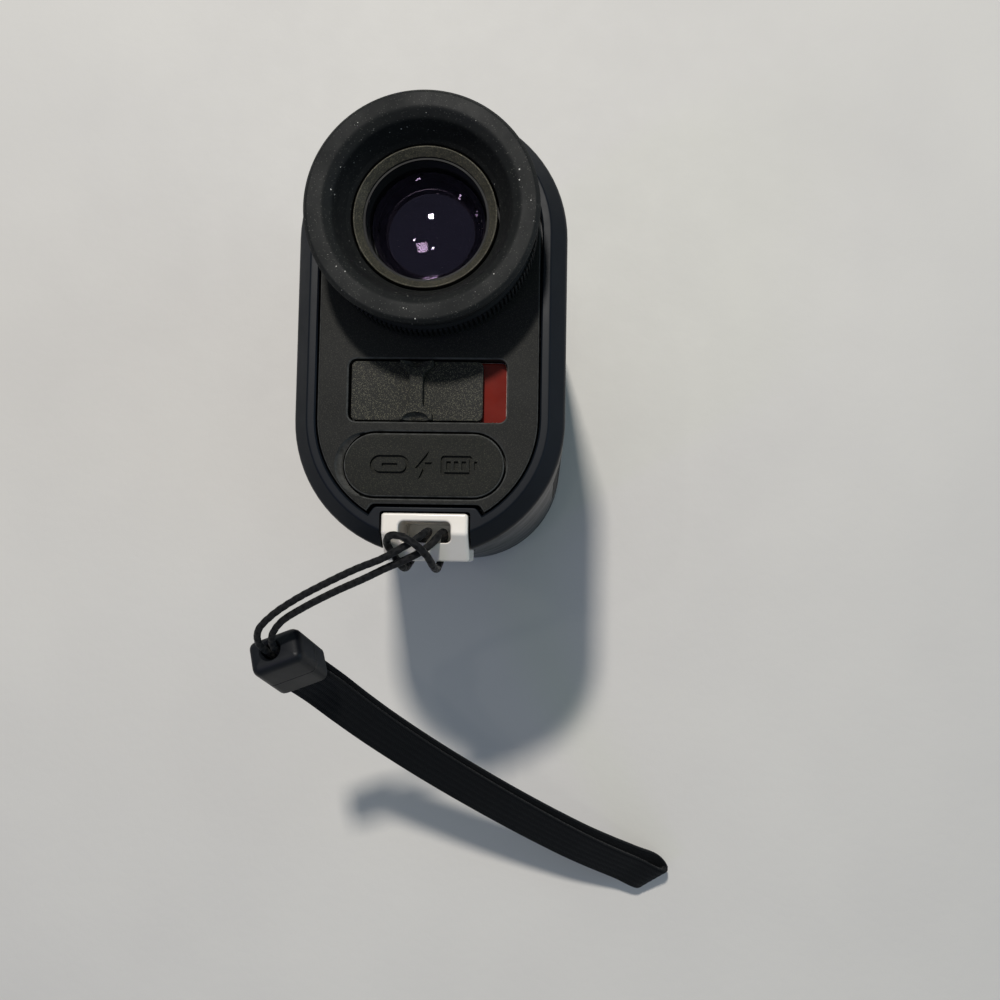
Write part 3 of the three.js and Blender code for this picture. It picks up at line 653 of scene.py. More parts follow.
def effect(name: str, inputs: Sequence[str],
           outputs: Sequence[str]) -> tuple[Graph, bpy.types.Node, bpy.types.Node]:
    """Start a shared effect.

    Args:
        name: The group's name.
        inputs: Its values; one named Vector is a vector.
        outputs: Its results.

    Returns:
        The graph, its input node and its output node.
    """
    tree = bpy.data.node_groups.new(name, "ShaderNodeTree")
    for label in inputs:
        kind = "NodeSocketVector" if label == "Vector" else "NodeSocketFloat"
        tree.interface.new_socket(name=label, in_out="INPUT", socket_type=kind)
    for label in outputs:
        tree.interface.new_socket(name=label, in_out="OUTPUT", socket_type="NodeSocketFloat")
    graph = Graph(tree)
    return graph, graph.add("NodeGroupInput"), graph.add("NodeGroupOutput")


class Effects:
    """The effects that the materials share, each built once."""

    def __init__(self) -> None:
        """Build every effect."""
        self.grain = self._grain()
        self.sparkle = self._sparkle()
        self.specks = self._specks()
        self.smudge = self._smudge()
        self.painted_highlight = self._painted_highlight()
        self.braid = self._braid()
        self.ribs = self._ribs()

    @staticmethod
    def _grain() -> bpy.types.NodeTree:
        """Moulded grain: a height made of pebbles and fine noise.

        Returns:
            The effect's tree.
        """
        graph, given, result = effect("moulded_grain", ("Vector", "Scale"), ("Height",))
        vector, scale = given.outputs["Vector"], given.outputs["Scale"]
        distance, _ = graph.cells(vector, scale)
        fine = graph.noise(vector, graph.maths("MULTIPLY", scale, 1.7), 4.0, 0.7)
        pebbles = graph.rescale(distance, 0.0, 0.9, 1.0, 0.0)
        coarse, fine = graph.maths("MULTIPLY", pebbles, 0.55), graph.maths("MULTIPLY", fine, 0.45)
        graph.feed(result.inputs["Height"], graph.maths("ADD", coarse, fine))
        return graph.tree

    @staticmethod
    def _sparkle() -> bpy.types.NodeTree:
        """Bright grains scattered in the surface.

        Returns:
            The effect's tree.
        """
        graph, given, result = effect("sparkle_grain", ("Vector", "Scale", "Share"), ("Mask",))
        distance, chance = graph.cells(given.outputs["Vector"], given.outputs["Scale"])
        picked = graph.maths("LESS_THAN", chance, given.outputs["Share"])
        graph.feed(result.inputs["Mask"], graph.maths("MULTIPLY", picked, graph.rescale(distance, 0.5, 0.25)))
        return graph.tree

    @staticmethod
    def _specks() -> bpy.types.NodeTree:
        """Dust specks of different sizes, gathered in patches.

        Returns:
            The effect's tree.
        """
        graph, given, result = effect("dust_specks", ("Vector", "Scale", "Share"), ("Mask",))
        vector, scale = given.outputs["Vector"], given.outputs["Scale"]
        distance, chance = graph.cells(vector, scale)
        broad = graph.noise(vector, graph.maths("MULTIPLY", scale, 0.12))
        patches = graph.rescale(broad, 0.4, 0.62, 0.3, 1.8)
        size = graph.maths("SUBTRACT", graph.maths("MULTIPLY", given.outputs["Share"], patches), chance)
        edge = graph.maths("MULTIPLY", graph.maths("MAXIMUM", size, 0.0), 1.6)
        mask = graph.maths("LESS_THAN", distance, graph.maths("MINIMUM", edge, 0.3))
        graph.feed(result.inputs["Mask"], mask)
        return graph.tree

    @staticmethod
    def _smudge() -> bpy.types.NodeTree:
        """Broad soft patches where a surface is a little glossier or lighter.

        Returns:
            The effect's tree.
        """
        graph, given, result = effect("smudges", ("Vector", "Scale"), ("Mask",))
        value = graph.noise(given.outputs["Vector"], given.outputs["Scale"], 3.0, 0.6)
        graph.feed(result.inputs["Mask"], graph.rescale(value, 0.35, 0.68))
        return graph.tree

    @staticmethod
    def _painted_highlight() -> bpy.types.NodeTree:
        """Painted highlight: chamfers between level and upright faces made lighter where light would catch
        them, broken up by noise.

        Returns:
            The effect's tree.
        """
        graph, given, result = effect("painted_chamfer_highlight", ("Vector", "Scale"), ("Mask",))
        normal = graph.add("ShaderNodeTexCoord").outputs["Normal"]
        level = graph.add("ShaderNodeSeparateXYZ", {0: normal}).outputs[2]
        edge = graph.maths("MULTIPLY", graph.rescale(level, 0.97, 0.85), graph.rescale(level, 0.15, 0.4))
        broken = graph.rescale(graph.noise(given.outputs["Vector"], given.outputs["Scale"]), 0.3, 0.6, 0.4)
        graph.feed(result.inputs["Mask"], graph.maths("MULTIPLY", edge, broken))
        return graph.tree

    @staticmethod
    def _braid() -> bpy.types.NodeTree:
        """Two sets of strands that cross round a cord; the vector is distance along and share round. Its
        shade is painted shade: darker between the strands than on their crests.

        Returns:
            The effect's tree.
        """
        graph, given, result = effect("cord_braid", ("Vector", "Pitch", "Strands"), ("Height", "Shade"))
        split = graph.add("ShaderNodeSeparateXYZ", {0: given.outputs["Vector"]})
        along = graph.maths("DIVIDE", split.outputs[0], given.outputs["Pitch"])
        around = graph.maths("MULTIPLY", split.outputs[1], given.outputs["Strands"])
        waves = []
        for way in ("ADD", "SUBTRACT"):
            waves.append(graph.wave(graph.maths(way, along, around)))
        height = graph.maths("MAXIMUM", waves[0], waves[1])
        graph.feed(result.inputs["Height"], height)
        # Painted shade: the share of the lighter colour follows the strands' height, so the grooves are
        # darker.
        graph.feed(result.inputs["Shade"], graph.rescale(height, 0.55, 1.0))
        return graph.tree

    @staticmethod
    def _ribs() -> bpy.types.NodeTree:
        """Woven ribs across a webbing with threads along it; the vector is distance along and across. Its
        shade is painted shade: darker between the ribs and threads than on their crests.

        Returns:
            The effect's tree.
        """
        graph, given, result = effect("webbing_weave", ("Vector", "Rib", "Thread"), ("Height", "Shade"))
        split = graph.add("ShaderNodeSeparateXYZ", {0: given.outputs["Vector"]})
        wander = graph.maths("MULTIPLY", graph.noise(given.outputs["Vector"], 0.9, 2.0), 0.25)
        rows = graph.maths("DIVIDE", graph.maths("ADD", split.outputs[0], wander), given.outputs["Rib"])
        threads = graph.maths("DIVIDE", split.outputs[1], given.outputs["Thread"])
        shift = graph.maths("MULTIPLY", graph.maths("FLOOR", threads), 0.5)
        row = graph.wave(graph.maths("ADD", rows, shift))
        thread = graph.wave(threads)
        height = graph.maths("MULTIPLY", row, thread)
        graph.feed(result.inputs["Height"], height)
        # Painted shade: the share of the lighter colour follows the weave's height, so the hollows are
        # darker.
        graph.feed(result.inputs["Shade"], graph.rescale(height, 0.15, 0.85))
        return graph.tree


# ---------------------------------------------------------------------------
# Finishes
# ---------------------------------------------------------------------------


@dataclass(frozen=True)
class Finish:
    """A moulded, painted or machined surface. Sizes of its detail are millimetres."""

    name: str
    base: Colour
    roughness: float
    metallic: float = 0.0
    specular: float = 0.5
    second: Colour | None = None
    mottle: float = 3.0
    grain: float = 0.0
    grain_size: float = 0.35
    sparkle: float = 0.0
    sparkle_size: float = 0.14
    sparkle_colour: Colour = srgb(178, 172, 152)
    dust: float = 0.0
    dust_size: float = 0.9
    smudge: float = 0.08
    # Painted highlight on chamfers: its strength and its colour.
    painted_highlight: float = 0.0
    painted_highlight_colour: Colour = srgb(96, 96, 94)
    coat: float = 0.0
    sheen: float = 0.0

    def pattern(self, graph: Graph, effects: Effects, place: Socket) -> tuple[Socket | None, Socket | None]:
        """Give the finish's own height and shade, where it has them.

        Args:
            graph: The material's tree.
            effects: The shared effects.
            place: The object coordinates.

        Returns:
            The height from 0 to 1 and the share of the second colour, or None for each.
        """
        height = None
        if self.grain:
            values = {"Vector": place, "Scale": 1 / (self.grain_size * MM)}
            height = graph.use(effects.grain, values).outputs["Height"]
        shade = None
        if self.second:
            values = {"Vector": place, "Scale": 1 / (self.mottle * MM)}
            shade = graph.use(effects.smudge, values).outputs["Mask"]
        return height, shade

    def colour(self, graph: Graph, effects: Effects, place: Socket, shade: Socket | None) -> Value:
        """Lay the sparkle, the painted chamfer highlight and the dust over the base colour.

        Args:
            graph: The material's tree.
            effects: The shared effects.
            place: The object coordinates.
            shade: The share of the second colour.

        Returns:
            The surface colour.
        """
        colour: Value = self.base
        if shade is not None and self.second:
            colour = graph.blend(shade, colour, self.second)
        if self.sparkle:
            values = {"Vector": place, "Scale": 1 / (self.sparkle_size * MM), "Share": self.sparkle}
            grains = graph.use(effects.sparkle, values).outputs["Mask"]
            colour = graph.blend(grains, colour, self.sparkle_colour)
        # Painted highlight: chamfers made lighter in the highlight colour, standing in for light that catches
        # them.
        if self.painted_highlight:
            mask = graph.use(effects.painted_highlight, {"Vector": place, "Scale": PAINTED_HIGHLIGHT_SCALE}).outputs["Mask"]
            colour = graph.blend(graph.maths("MULTIPLY", mask, self.painted_highlight), colour, self.painted_highlight_colour)
        if self.dust:
            values = {"Vector": place, "Scale": 1 / (self.dust_size * MM), "Share": self.dust}
            colour = graph.blend(graph.use(effects.specks, values).outputs["Mask"], colour, DUST)
        return colour

    def build(self, effects: Effects) -> bpy.types.Material:
        """Make the material.

        Args:
            effects: The shared effects.

        Returns:
            The material.
        """
        material = bpy.data.materials.new(self.name)
        material.use_nodes = True
        graph = Graph(material.node_tree)
        shader = material.node_tree.nodes["Principled BSDF"]
        place = graph.add("ShaderNodeTexCoord").outputs["Object"]
        height, shade = self.pattern(graph, effects, place)
        graph.feed(shader.inputs["Base Color"], self.colour(graph, effects, place, shade))
        patches = graph.use(effects.smudge, {"Vector": place, "Scale": SMUDGE_SCALE}).outputs["Mask"]
        low, high = self.roughness - self.smudge / 2, self.roughness + self.smudge / 2
        graph.feed(shader.inputs["Roughness"], graph.rescale(patches, 0.0, 1.0, high, low))
        if height is not None:
            values = {"Height": height, "Distance": self.grain * MM, "Strength": 1.0}
            graph.feed(shader.inputs["Normal"], graph.add("ShaderNodeBump", values).outputs[0])
        shader.inputs["Metallic"].default_value = self.metallic
        shader.inputs["Specular IOR Level"].default_value = self.specular
        shader.inputs["Coat Weight"].default_value = self.coat
        shader.inputs["Coat Roughness"].default_value = 0.08
        shader.inputs["Sheen Weight"].default_value = self.sheen
        shader.inputs["Sheen Roughness"].default_value = 0.4
        return material


@dataclass(frozen=True)
class CordFinish(Finish):
    """A braided cord, whose UV map holds millimetres along it and the share round it."""

    pitch: float = 1.7
    strands: float = 3.0

    def pattern(self, graph: Graph, effects: Effects, place: Socket) -> tuple[Socket | None, Socket | None]:
        """Give the strands' height and their painted shade.

        Args:
            graph: The material's tree.
            effects: The shared effects.
            place: Not used, because the braid follows the cord.

        Returns:
            The height from 0 to 1 and the share of the second colour.
        """
        along = graph.add("ShaderNodeUVMap").outputs[0]
        node = graph.use(effects.braid, {"Vector": along, "Pitch": self.pitch, "Strands": self.strands})
        return node.outputs["Height"], node.outputs["Shade"]


@dataclass(frozen=True)
class WebbingFinish(Finish):
    """A woven webbing, whose UV map holds millimetres along and across it."""

    rib: float = 0.42
    thread: float = 0.3

    def pattern(self, graph: Graph, effects: Effects, place: Socket) -> tuple[Socket | None, Socket | None]:
        """Give the weave's height and its painted shade.

        Args:
            graph: The material's tree.
            effects: The shared effects.
            place: Not used, because the weave follows the webbing.

        Returns:
            The height from 0 to 1 and the share of the second colour.
        """
        along = graph.add("ShaderNodeUVMap").outputs[0]
        node = graph.use(effects.ribs, {"Vector": along, "Rib": self.rib, "Thread": self.thread})
        return node.outputs["Height"], node.outputs["Shade"]


@dataclass(frozen=True)
class Glass:
    """Coated optical glass with a little dust on it."""

    name: str
    tint: Colour
    reflection: Colour
    roughness: float = 0.015
    dust: float = 0.0
    dust_size: float = 0.55
    refraction: float = 1.52

    def build(self, effects: Effects) -> bpy.types.Material:
        """Make the material.

        Args:
            effects: The shared effects.

        Returns:
            The material.
        """
        material = bpy.data.materials.new(self.name)
        material.use_nodes = True
        graph = Graph(material.node_tree)
        shader = material.node_tree.nodes["Principled BSDF"]
        place = graph.add("ShaderNodeTexCoord").outputs["Object"]
        values = {"Vector": place, "Scale": 1 / (self.dust_size * MM), "Share": self.dust}
        dusty = graph.use(effects.specks, values).outputs["Mask"]
        graph.feed(shader.inputs["Base Color"], graph.blend(dusty, self.tint, GOLD_DUST))
        graph.feed(shader.inputs["Roughness"], graph.rescale(dusty, 0.0, 1.0, self.roughness, 0.7))
        shader.inputs["Transmission Weight"].default_value = 1.0
        shader.inputs["IOR"].default_value = self.refraction
        shader.inputs["Specular Tint"].default_value = (*self.reflection, 1.0)
        shader.inputs["Specular IOR Level"].default_value = 0.4
        return material


DUST = srgb(176, 174, 168)
GOLD_DUST = srgb(214, 186, 138)
# Scale of the noise that breaks up the painted chamfer highlight.
PAINTED_HIGHLIGHT_SCALE = 900.0
SMUDGE_SCALE = 130.0

# Where a finish lightens its chamfers, that is a painted highlight, not rubbing.
SHELL = Finish("shell_plastic", srgb(12, 16, 22), 0.42, specular=0.16, second=srgb(15, 19, 25), grain=0.004,
               grain_size=0.12, dust=0.006, smudge=0.12)
PANEL = Finish("panel_plastic", srgb(30, 30, 28), 0.6, specular=0.14, second=srgb(29, 29, 27), grain=0.02,
               grain_size=0.13, sparkle=0.3, sparkle_size=0.1, sparkle_colour=srgb(62, 61, 54), dust=0.012,
               painted_highlight=0.5)
SLIDER = Finish("slider_plastic", srgb(31, 31, 27), 0.55, specular=0.16, second=srgb(29, 29, 26), grain=0.04,
                grain_size=0.17, sparkle=0.42, sparkle_size=0.13, sparkle_colour=srgb(100, 97, 80), painted_highlight=0.3)
COVER = Finish("cover_rubber", srgb(23, 24, 20), 0.6, specular=0.14, second=srgb(24, 24, 21), grain=0.02,
               grain_size=0.14, sparkle=0.3, sparkle_size=0.11, sparkle_colour=srgb(60, 59, 48), dust=0.01,
               painted_highlight=0.6)
GRIP = Finish("grip_rubber", srgb(27, 27, 28), 0.75, specular=0.2, second=srgb(22, 22, 23), grain=0.02,
              grain_size=0.22, dust=0.02)
KEY = Finish("button_rubber", srgb(33, 33, 34), 0.65, specular=0.25, second=srgb(27, 27, 28), grain=0.01,
             grain_size=0.16, dust=0.015)
SEAL = Finish("seal_rubber", srgb(20, 20, 20), 0.75, specular=0.2, second=srgb(25, 25, 25), grain=0.006)
# The red plate's near-white chamfer colour is a painted highlight.
RED = Finish("red_plastic", srgb(108, 20, 4), 0.25, specular=0.12, second=srgb(98, 16, 3), mottle=6,
             grain=0.002, grain_size=0.5, coat=0.1, dust=0.01, painted_highlight=0.8, painted_highlight_colour=srgb(226, 214, 206))
LUG = Finish("lug_plastic", srgb(226, 218, 206), 0.22, specular=0.4, second=srgb(231, 224, 214), mottle=5,
             grain=0.003, grain_size=0.4, coat=0.35, dust=0.003)
RING_RUBBER = Finish("ring_rubber", srgb(18, 19, 20), 0.65, specular=0.2, second=srgb(22, 23, 24),
                     grain=0.006, grain_size=0.15, dust=0.01)
CUP_RUBBER = Finish("eyecup_rubber", srgb(27, 28, 27), 0.6, specular=0.16, second=srgb(22, 23, 23), mottle=2,
                    grain=0.02, grain_size=0.12, sparkle=0.05, sparkle_size=0.12,
                    sparkle_colour=srgb(86, 86, 80), dust=0.1, dust_size=0.42, smudge=0.16)
RING_METAL = Finish("ring_metal", srgb(68, 66, 58), 0.55, metallic=0.3, specular=0.2, second=srgb(50, 49, 42),
                    grain=0.03, grain_size=0.11, sparkle=0.3, sparkle_size=0.1,
                    sparkle_colour=srgb(128, 122, 100))
BLACK = Finish("inner_plastic", srgb(9, 10, 10), 0.55, specular=0.2, second=srgb(13, 14, 14), grain=0.006,
               grain_size=0.2)
CRIMP = Finish("crimp_plastic", srgb(18, 20, 24), 0.45, specular=0.22, second=srgb(14, 16, 20), grain=0.006,
               grain_size=0.2, dust=0.01)
CORD = CordFinish("strap_cord", srgb(4, 4, 5), 0.7, specular=0.2, second=srgb(22, 22, 23),
                  grain=0.07, sheen=0.08)
WEBBING = WebbingFinish("strap_webbing", srgb(3, 4, 6), 0.9, specular=0.1, second=srgb(15, 18, 21),
                        grain=0.07, sheen=0.05)
STEEL = Finish("steel", srgb(190, 190, 192), 0.28, metallic=1.0, second=srgb(176, 176, 179), grain=0.002)
BOARD = Finish("circuit", srgb(24, 78, 48), 0.4, second=srgb(18, 62, 38), grain=0.01, grain_size=0.6,
               coat=0.3)
CHASSIS = Finish("chassis_metal", srgb(118, 120, 124), 0.5, metallic=0.9, second=srgb(104, 106, 110),
                 grain=0.02)
BATTERY = Finish("battery_wrap", srgb(120, 134, 150), 0.35, second=srgb(108, 122, 140), mottle=8, coat=0.3)
LENS = Glass("lens_glass", srgb(150, 146, 152), (0.8, 0.62, 0.95), dust=0.05)
FRONT_LENS = Glass("front_lens_glass", srgb(200, 214, 206), (0.45, 1.0, 0.7), dust=0.01)
PRISM = Glass("prism_glass", srgb(236, 240, 242), (0.9, 0.95, 1.0))

SLOT_FINISH: dict[str, Finish | Glass] = {
    "shell": SHELL, "panel": PANEL, "grip_rubber": GRIP, "seal": SEAL, "lug_plastic": LUG, "steel": STEEL,
    "circuit": BOARD, "inner_plastic": BLACK, "red_plastic": RED, "lens_glass": LENS, "prism_glass": PRISM,
    "chassis_metal": CHASSIS, "battery_wrap": BATTERY, "cord": CORD, "webbing": WEBBING,
    "crimp_plastic": CRIMP, "button_rubber": KEY, "ring_rubber": RING_RUBBER, "eyecup_rubber": CUP_RUBBER,
    "ring_metal": RING_METAL, "slider_plastic": SLIDER, "cover_rubber": COVER,
}


class PaintShop:
    """Makes each finish's material once and hands it out."""

    def __init__(self) -> None:
        """Build the shared effects."""
        self.effects = Effects()
        self.made: dict[str, bpy.types.Material] = {}

    def paint(self, finish: Finish | Glass) -> bpy.types.Material:
        """Give a finish's material.

        Args:
            finish: The finish.

        Returns:
            Its material.
        """
        if finish.name not in self.made:
            self.made[finish.name] = finish.build(self.effects)
        return self.made[finish.name]


# ---------------------------------------------------------------------------
# Pieces
# ---------------------------------------------------------------------------


@dataclass
class Piece:
    """One finished piece: its mesh, the body it rides on, its slot and the CAD node that it stands for."""

    name: str
    shape: BMesh
    body: Body
    slot: str
    node: str
    finish: Finish | Glass
    crease: float = 38
    weighted: bool = True

    def make(self, shop: PaintShop) -> bpy.types.Object:
        """Put the piece in the scene.

        Args:
            shop: Where its material comes from.

        Returns:
            The object.
        """
        mesh = bpy.data.meshes.new(self.name)
        self.shape.to_mesh(mesh)
        self.shape.free()
        mesh.transform(Matrix.Scale(MM, 4))
        mesh.shade_smooth()
        mesh.set_sharp_from_angle(angle=math.radians(self.crease))
        mesh.materials.append(shop.paint(self.finish))
        obj = bpy.data.objects.new(self.name, mesh)
        bpy.context.scene.collection.objects.link(obj)
        if self.weighted:
            modifier = obj.modifiers.new("even_normals", "WEIGHTED_NORMAL")
            modifier.keep_sharp = True
        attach(obj, self.body.value)
        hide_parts(self.node)
        LOG.info("%s: %d faces on %s", self.name, len(mesh.polygons), self.body.value)
        return obj


@dataclass
class Housing:
    """The black shell, its front rim, the side grips and the lanyard lug."""

    shell: Span = measured("main_housing")
    rim: Span = measured("front_bezel")
    panel: Span = measured("rear_panel")
    lug: Span = measured("lanyard_lug")
    grip: Span = measured("right_grip")
    gap: float = 0.3
    wall: float = 2.2
    bevel: float = 2.5
    bevel_rise: float = 2.8
    mouth_wall: float = 3.0
    foot: float = 0.45
    ledge: float = 15.8
    ledge_low: float = 84.0
    ledge_high: float = 85.3
    rim_chamfer: float = 0.22
    notch_half: float = 8.2
    notch_flare: float = 1.8
    notch_top: float = -27.4
    notch_low: float = -30.0
    tongue_inset: float = 0.45
    key_hole: float = 4.55
    key_seat: float = 34.9
    grip_depth: float = 0.7
    grip_corner: float = 6.0
    rib_pitch: float = 3.4
    rib_margin: float = 4.0
    rib_inset: float = 2.2
    rib_depth: float = 0.32
    rib_half: float = 0.75
    rib_floor: float = 0.35
    rim_wall: float = 18.4
    rim_bore: float = 16.6
    seal_wall: float = 17.3
    seal: Point = (7.2, 8.6)
    rim_step: float = 5.3
    objective_bore: float = 14.6
    emitter_bore: float = 7.9
    lug_half: float = 6.6
    lug_deep: float = 7.2
    lug_gap: Point = (6.9, 7.5)
    lug_bend: float = 4.1
    lug_round: float = 0.35
    lug_foot: Point = (1.4, 5.0)
    slot_half: float = 3.95
    slot_low: float = 79.8
    slot_roof: float = 84.0
    slot_near: float = -30.0
    slot_far: float = -33.2

    @property
    def radius(self) -> float:
        """Radius of the body's round ends."""
        return self.shell.half_x

    @property
    def reach(self) -> float:
        """How far the round ends' middles are from the middle of the body."""
        return self.shell.y1 - self.radius

    def section(self, radius: float, steps: int = 40) -> Stadium:
        """The body's section at a radius."""
        return Stadium(0, 0, self.reach, radius, upright=True, steps=steps)

    def walled(self, profile: Sequence[Point]) -> BMesh:
        """Carry a profile round the body; its points are radius and height."""
        return loft(self.section(self.radius), [(r - self.radius, z) for r, z in profile])

    def notch(self, grow: float) -> Cornered:
        """Draw the step in the panel's edge round the lug.

        Args:
            grow: How far its edge moves outwards.

        Returns:
            The outline.
        """
        half, top, low = self.notch_half + grow, self.notch_top + grow, self.notch_low + grow
        flare = half + self.notch_flare
        corners = ((-flare, -40, 0), (flare, -40, 0), (flare, low, 0.4), (half, top, 0.9),
                   (-half, top, 0.9), (-flare, low, 0.4))
        return Cornered(corners)

    def build_shell(self) -> BMesh:
        """Make the shell: a bevelled stadium with its mouth, pockets and recesses cut in.

        Returns:
            The shell.
        """
        radius, low, top = self.radius, self.shell.z0, self.shell.z1
        inside = radius - self.wall
        shell = self.walled(rounded([
            (self.ledge, self.ledge_high, 0), (self.ledge, self.ledge_low, 0),
            (inside, self.ledge_low, 0), (inside, low, 0),
            (radius - self.foot, low, 0.1), (radius, low + self.foot, 0.2),
            (radius, top - self.bevel_rise, 1.6), (radius - self.bevel, top, 0.5),
            (radius - self.mouth_wall, top, 0),
        ], closed=False, steps=5))
        mouth = loft(self.section(self.panel.half_x + self.gap),
                     pocket(self.ledge_high - 0.1, top, self.rim_chamfer))
        tongue = loft(self.notch(-self.tongue_inset), slab(CUT_LOW, top + 0.001, self.rim_chamfer))
        gap_half, gap_deep = self.lug_gap
        lug_gap = rectangle((-gap_half, gap_half), (-BEYOND, self.lug.y0 + gap_deep), 0.5)
        cutters = [combine(mouth, [tongue], Join.CUT),
                   loft(lug_gap, [(0, self.lug.z0 - self.gap), (0, top + 4)])]
        seat = self.key_seat
        for key in (Keys.POWER, Keys.MODE):
            hole = Stadium(0, key.height, key.reach, self.key_hole, upright=True)
            levels = [(0, seat - 6.9), (0, seat), (0.5, seat + 0.5), (0.5, seat + 5.1)]
            cutters.append(placed(loft(hole, levels), ALONG_Y))
        for side in (1, -1):
            cutters.append(self.side_cut(side, radius - self.grip_depth - self.gap, self.gap))
        return combine(shell, cutters, Join.CUT)

    def side_window(self, side: int, grow: float) -> BMesh:
        """Make a block through one side in the outline of the grip.

        Args:
            side: 1 for the +X side and -1 for the -X side.
            grow: Margin round its edge.

        Returns:
            The block.
        """
        outline = rectangle((self.grip.y0, self.grip.y1), (self.grip.z0, self.grip.z1), self.grip_corner)
        window = placed(loft(outline, [(grow, 5), (grow, 30)]), ALONG_X)
        return window if side > 0 else placed(window, Matrix.Rotation(math.pi, 4, "Z"))

    def side_cut(self, side: int, floor: float, grow: float) -> BMesh:
        """Make the solid of a grip or of its recess.

        Args:
            side: 1 for the +X side and -1 for the -X side.
            floor: Radius of the section at its floor.
            grow: Margin round its edge.

        Returns:
            The solid, open-ended outwards.
        """
        core = loft(self.section(floor), [(0, 0), (0, CUT_HIGH)])
        return combine(self.side_window(side, grow), [core], Join.CUT)

    def build_grip(self, side: int) -> BMesh:
        """Make one rubber grip with its moulded grooves.

        Args:
            side: 1 for the +X side and -1 for the -X side.

        Returns:
            The grip.
        """
        outer = loft(self.section(self.radius), [(0, 0), (0, CUT_HIGH)])
        grip = combine(self.side_cut(side, self.radius - self.grip_depth, 0), [outer], Join.COMMON)
        low, high = self.grip.z0 + self.rib_margin, self.grip.z1 - self.rib_margin
        count = int((high - low) / self.rib_pitch)
        section = ((-self.rib_depth, self.rib_floor), (0.1, self.rib_half), (1, self.rib_half))
        bands = bmesh.new()
        for index in range(count + 1):
            height = low + (high - low) * index / count
            levels = [(margin, height - half) for margin, half in section]
            levels += [(margin, height + half) for margin, half in reversed(section)]
            gather(bands, loft(self.section(self.radius), levels, ring=True))
        grooves = combine(bands, [self.side_window(side, -self.rib_inset)], Join.COMMON)
        return combine(grip, [grooves], Join.CUT)

    def build_rim(self) -> BMesh:
        """Make the front rim with its two lens openings.

        Returns:
            The rim.
        """
        radius, low, high = self.radius, self.rim.z0, self.rim.z1
        rim = self.walled(rounded([
            (radius - 2.5, low, 0), (radius - 1.5, low, 0.5), (radius, 1.5, 0.6),
            (radius, self.rim_step, 0.25), (self.rim_wall, self.rim_step, 0),
            (self.rim_wall, self.seal[0], 0), (self.seal_wall, self.seal[0], 0),
            (self.seal_wall, self.seal[1], 0), (self.rim_wall, self.seal[1], 0),
            (self.rim_wall, high, 0), (self.rim_bore, high, 0), (self.rim_bore, 4, 0),
        ], closed=False))
        cutters = []
        openings = ((FrontOptics.objective_y, self.objective_bore),
                    (FrontOptics.emitter_y, self.emitter_bore))
        for y, bore in openings:
            mouth = bore + 1.6
            cone = rounded([(0, -1, 0), (mouth, -1, 0), (mouth, 0, 0.3), (bore, 1.5, 0.3),
                            (bore, 12, 0), (0, 12, 0)], closed=False)
            cutters.append(turned(cone, y))
        return combine(rim, cutters, Join.CUT)

    def build_lug(self) -> BMesh:
        """Make the white lug with its cord slot and bar.

        Returns:
            The lug.
        """
        box, half = self.lug, self.lug_half
        near, out, high = box.y0 + self.lug_deep, box.y0, box.z1
        side = Cornered(((out, box.z0, 0.4), (near, box.z0, 0.2), (near, high, 0.35),
                         (out + self.lug_bend, high, 0.9), (out, high - self.lug_bend, 0.9)))
        levels = rounded([(-1.2, -half, 0), (0, -half, 0.55), (0, half, 0.55), (-1.2, half, 0)], closed=False)
        lug = placed(loft(side, levels), ALONG_X)
        across = (-self.slot_half, self.slot_half)
        rear_slot = rectangle(across, (self.slot_far, self.slot_near), 0.8)
        rear_slot = loft(rear_slot, [(0, self.slot_low), (0, CUT_HIGH)])
        outer_slot = rectangle(across, (self.slot_low, self.slot_roof), 0.9)
        outer_slot = placed(loft(outer_slot, [(0, -BEYOND), (0, self.slot_near)]), ALONG_Y)
        lug = combine(lug, [rear_slot, outer_slot], Join.CUT)
        lug = soften(lug, self.lug_round, self.beside_slot, segments=3, angle=50)
        foot_deep, foot_high = self.lug_foot
        foot = rectangle((-box.half_x, box.half_x), (near - foot_deep, near), 0.3)
        foot = loft(foot, slab(box.z0 + self.gap, box.z0 + foot_high, 0.3))
        return combine(lug, [foot], Join.ADD)

    def beside_slot(self, spot: Vector) -> bool:
        """Tell whether a point is on the rims of the lug's slot."""
        across = abs(spot.x) < self.slot_half + 0.1
        return across and spot.y < self.slot_near + 0.2 and spot.z > self.slot_low + 0.5

    def build(self, shop: PaintShop) -> None:
        """Build and dress the shell's pieces.

        Args:
            shop: Where the materials come from.
        """
        Piece("housing_shell", self.build_shell(), Body.MAIN, "shell", "main_housing", SHELL).make(shop)
        Piece("front_rim", self.build_rim(), Body.MAIN, "shell", "front_bezel", SHELL).make(shop)
        for name, node, side in (("grip_right", "right_grip", 1), ("grip_left", "left_grip", -1)):
            Piece(name, self.build_grip(side), Body.MAIN, "grip_rubber", node, GRIP).make(shop)
        Piece("lanyard_loop", self.build_lug(), Body.MAIN, "lug_plastic", "lanyard_lug", LUG).make(shop)


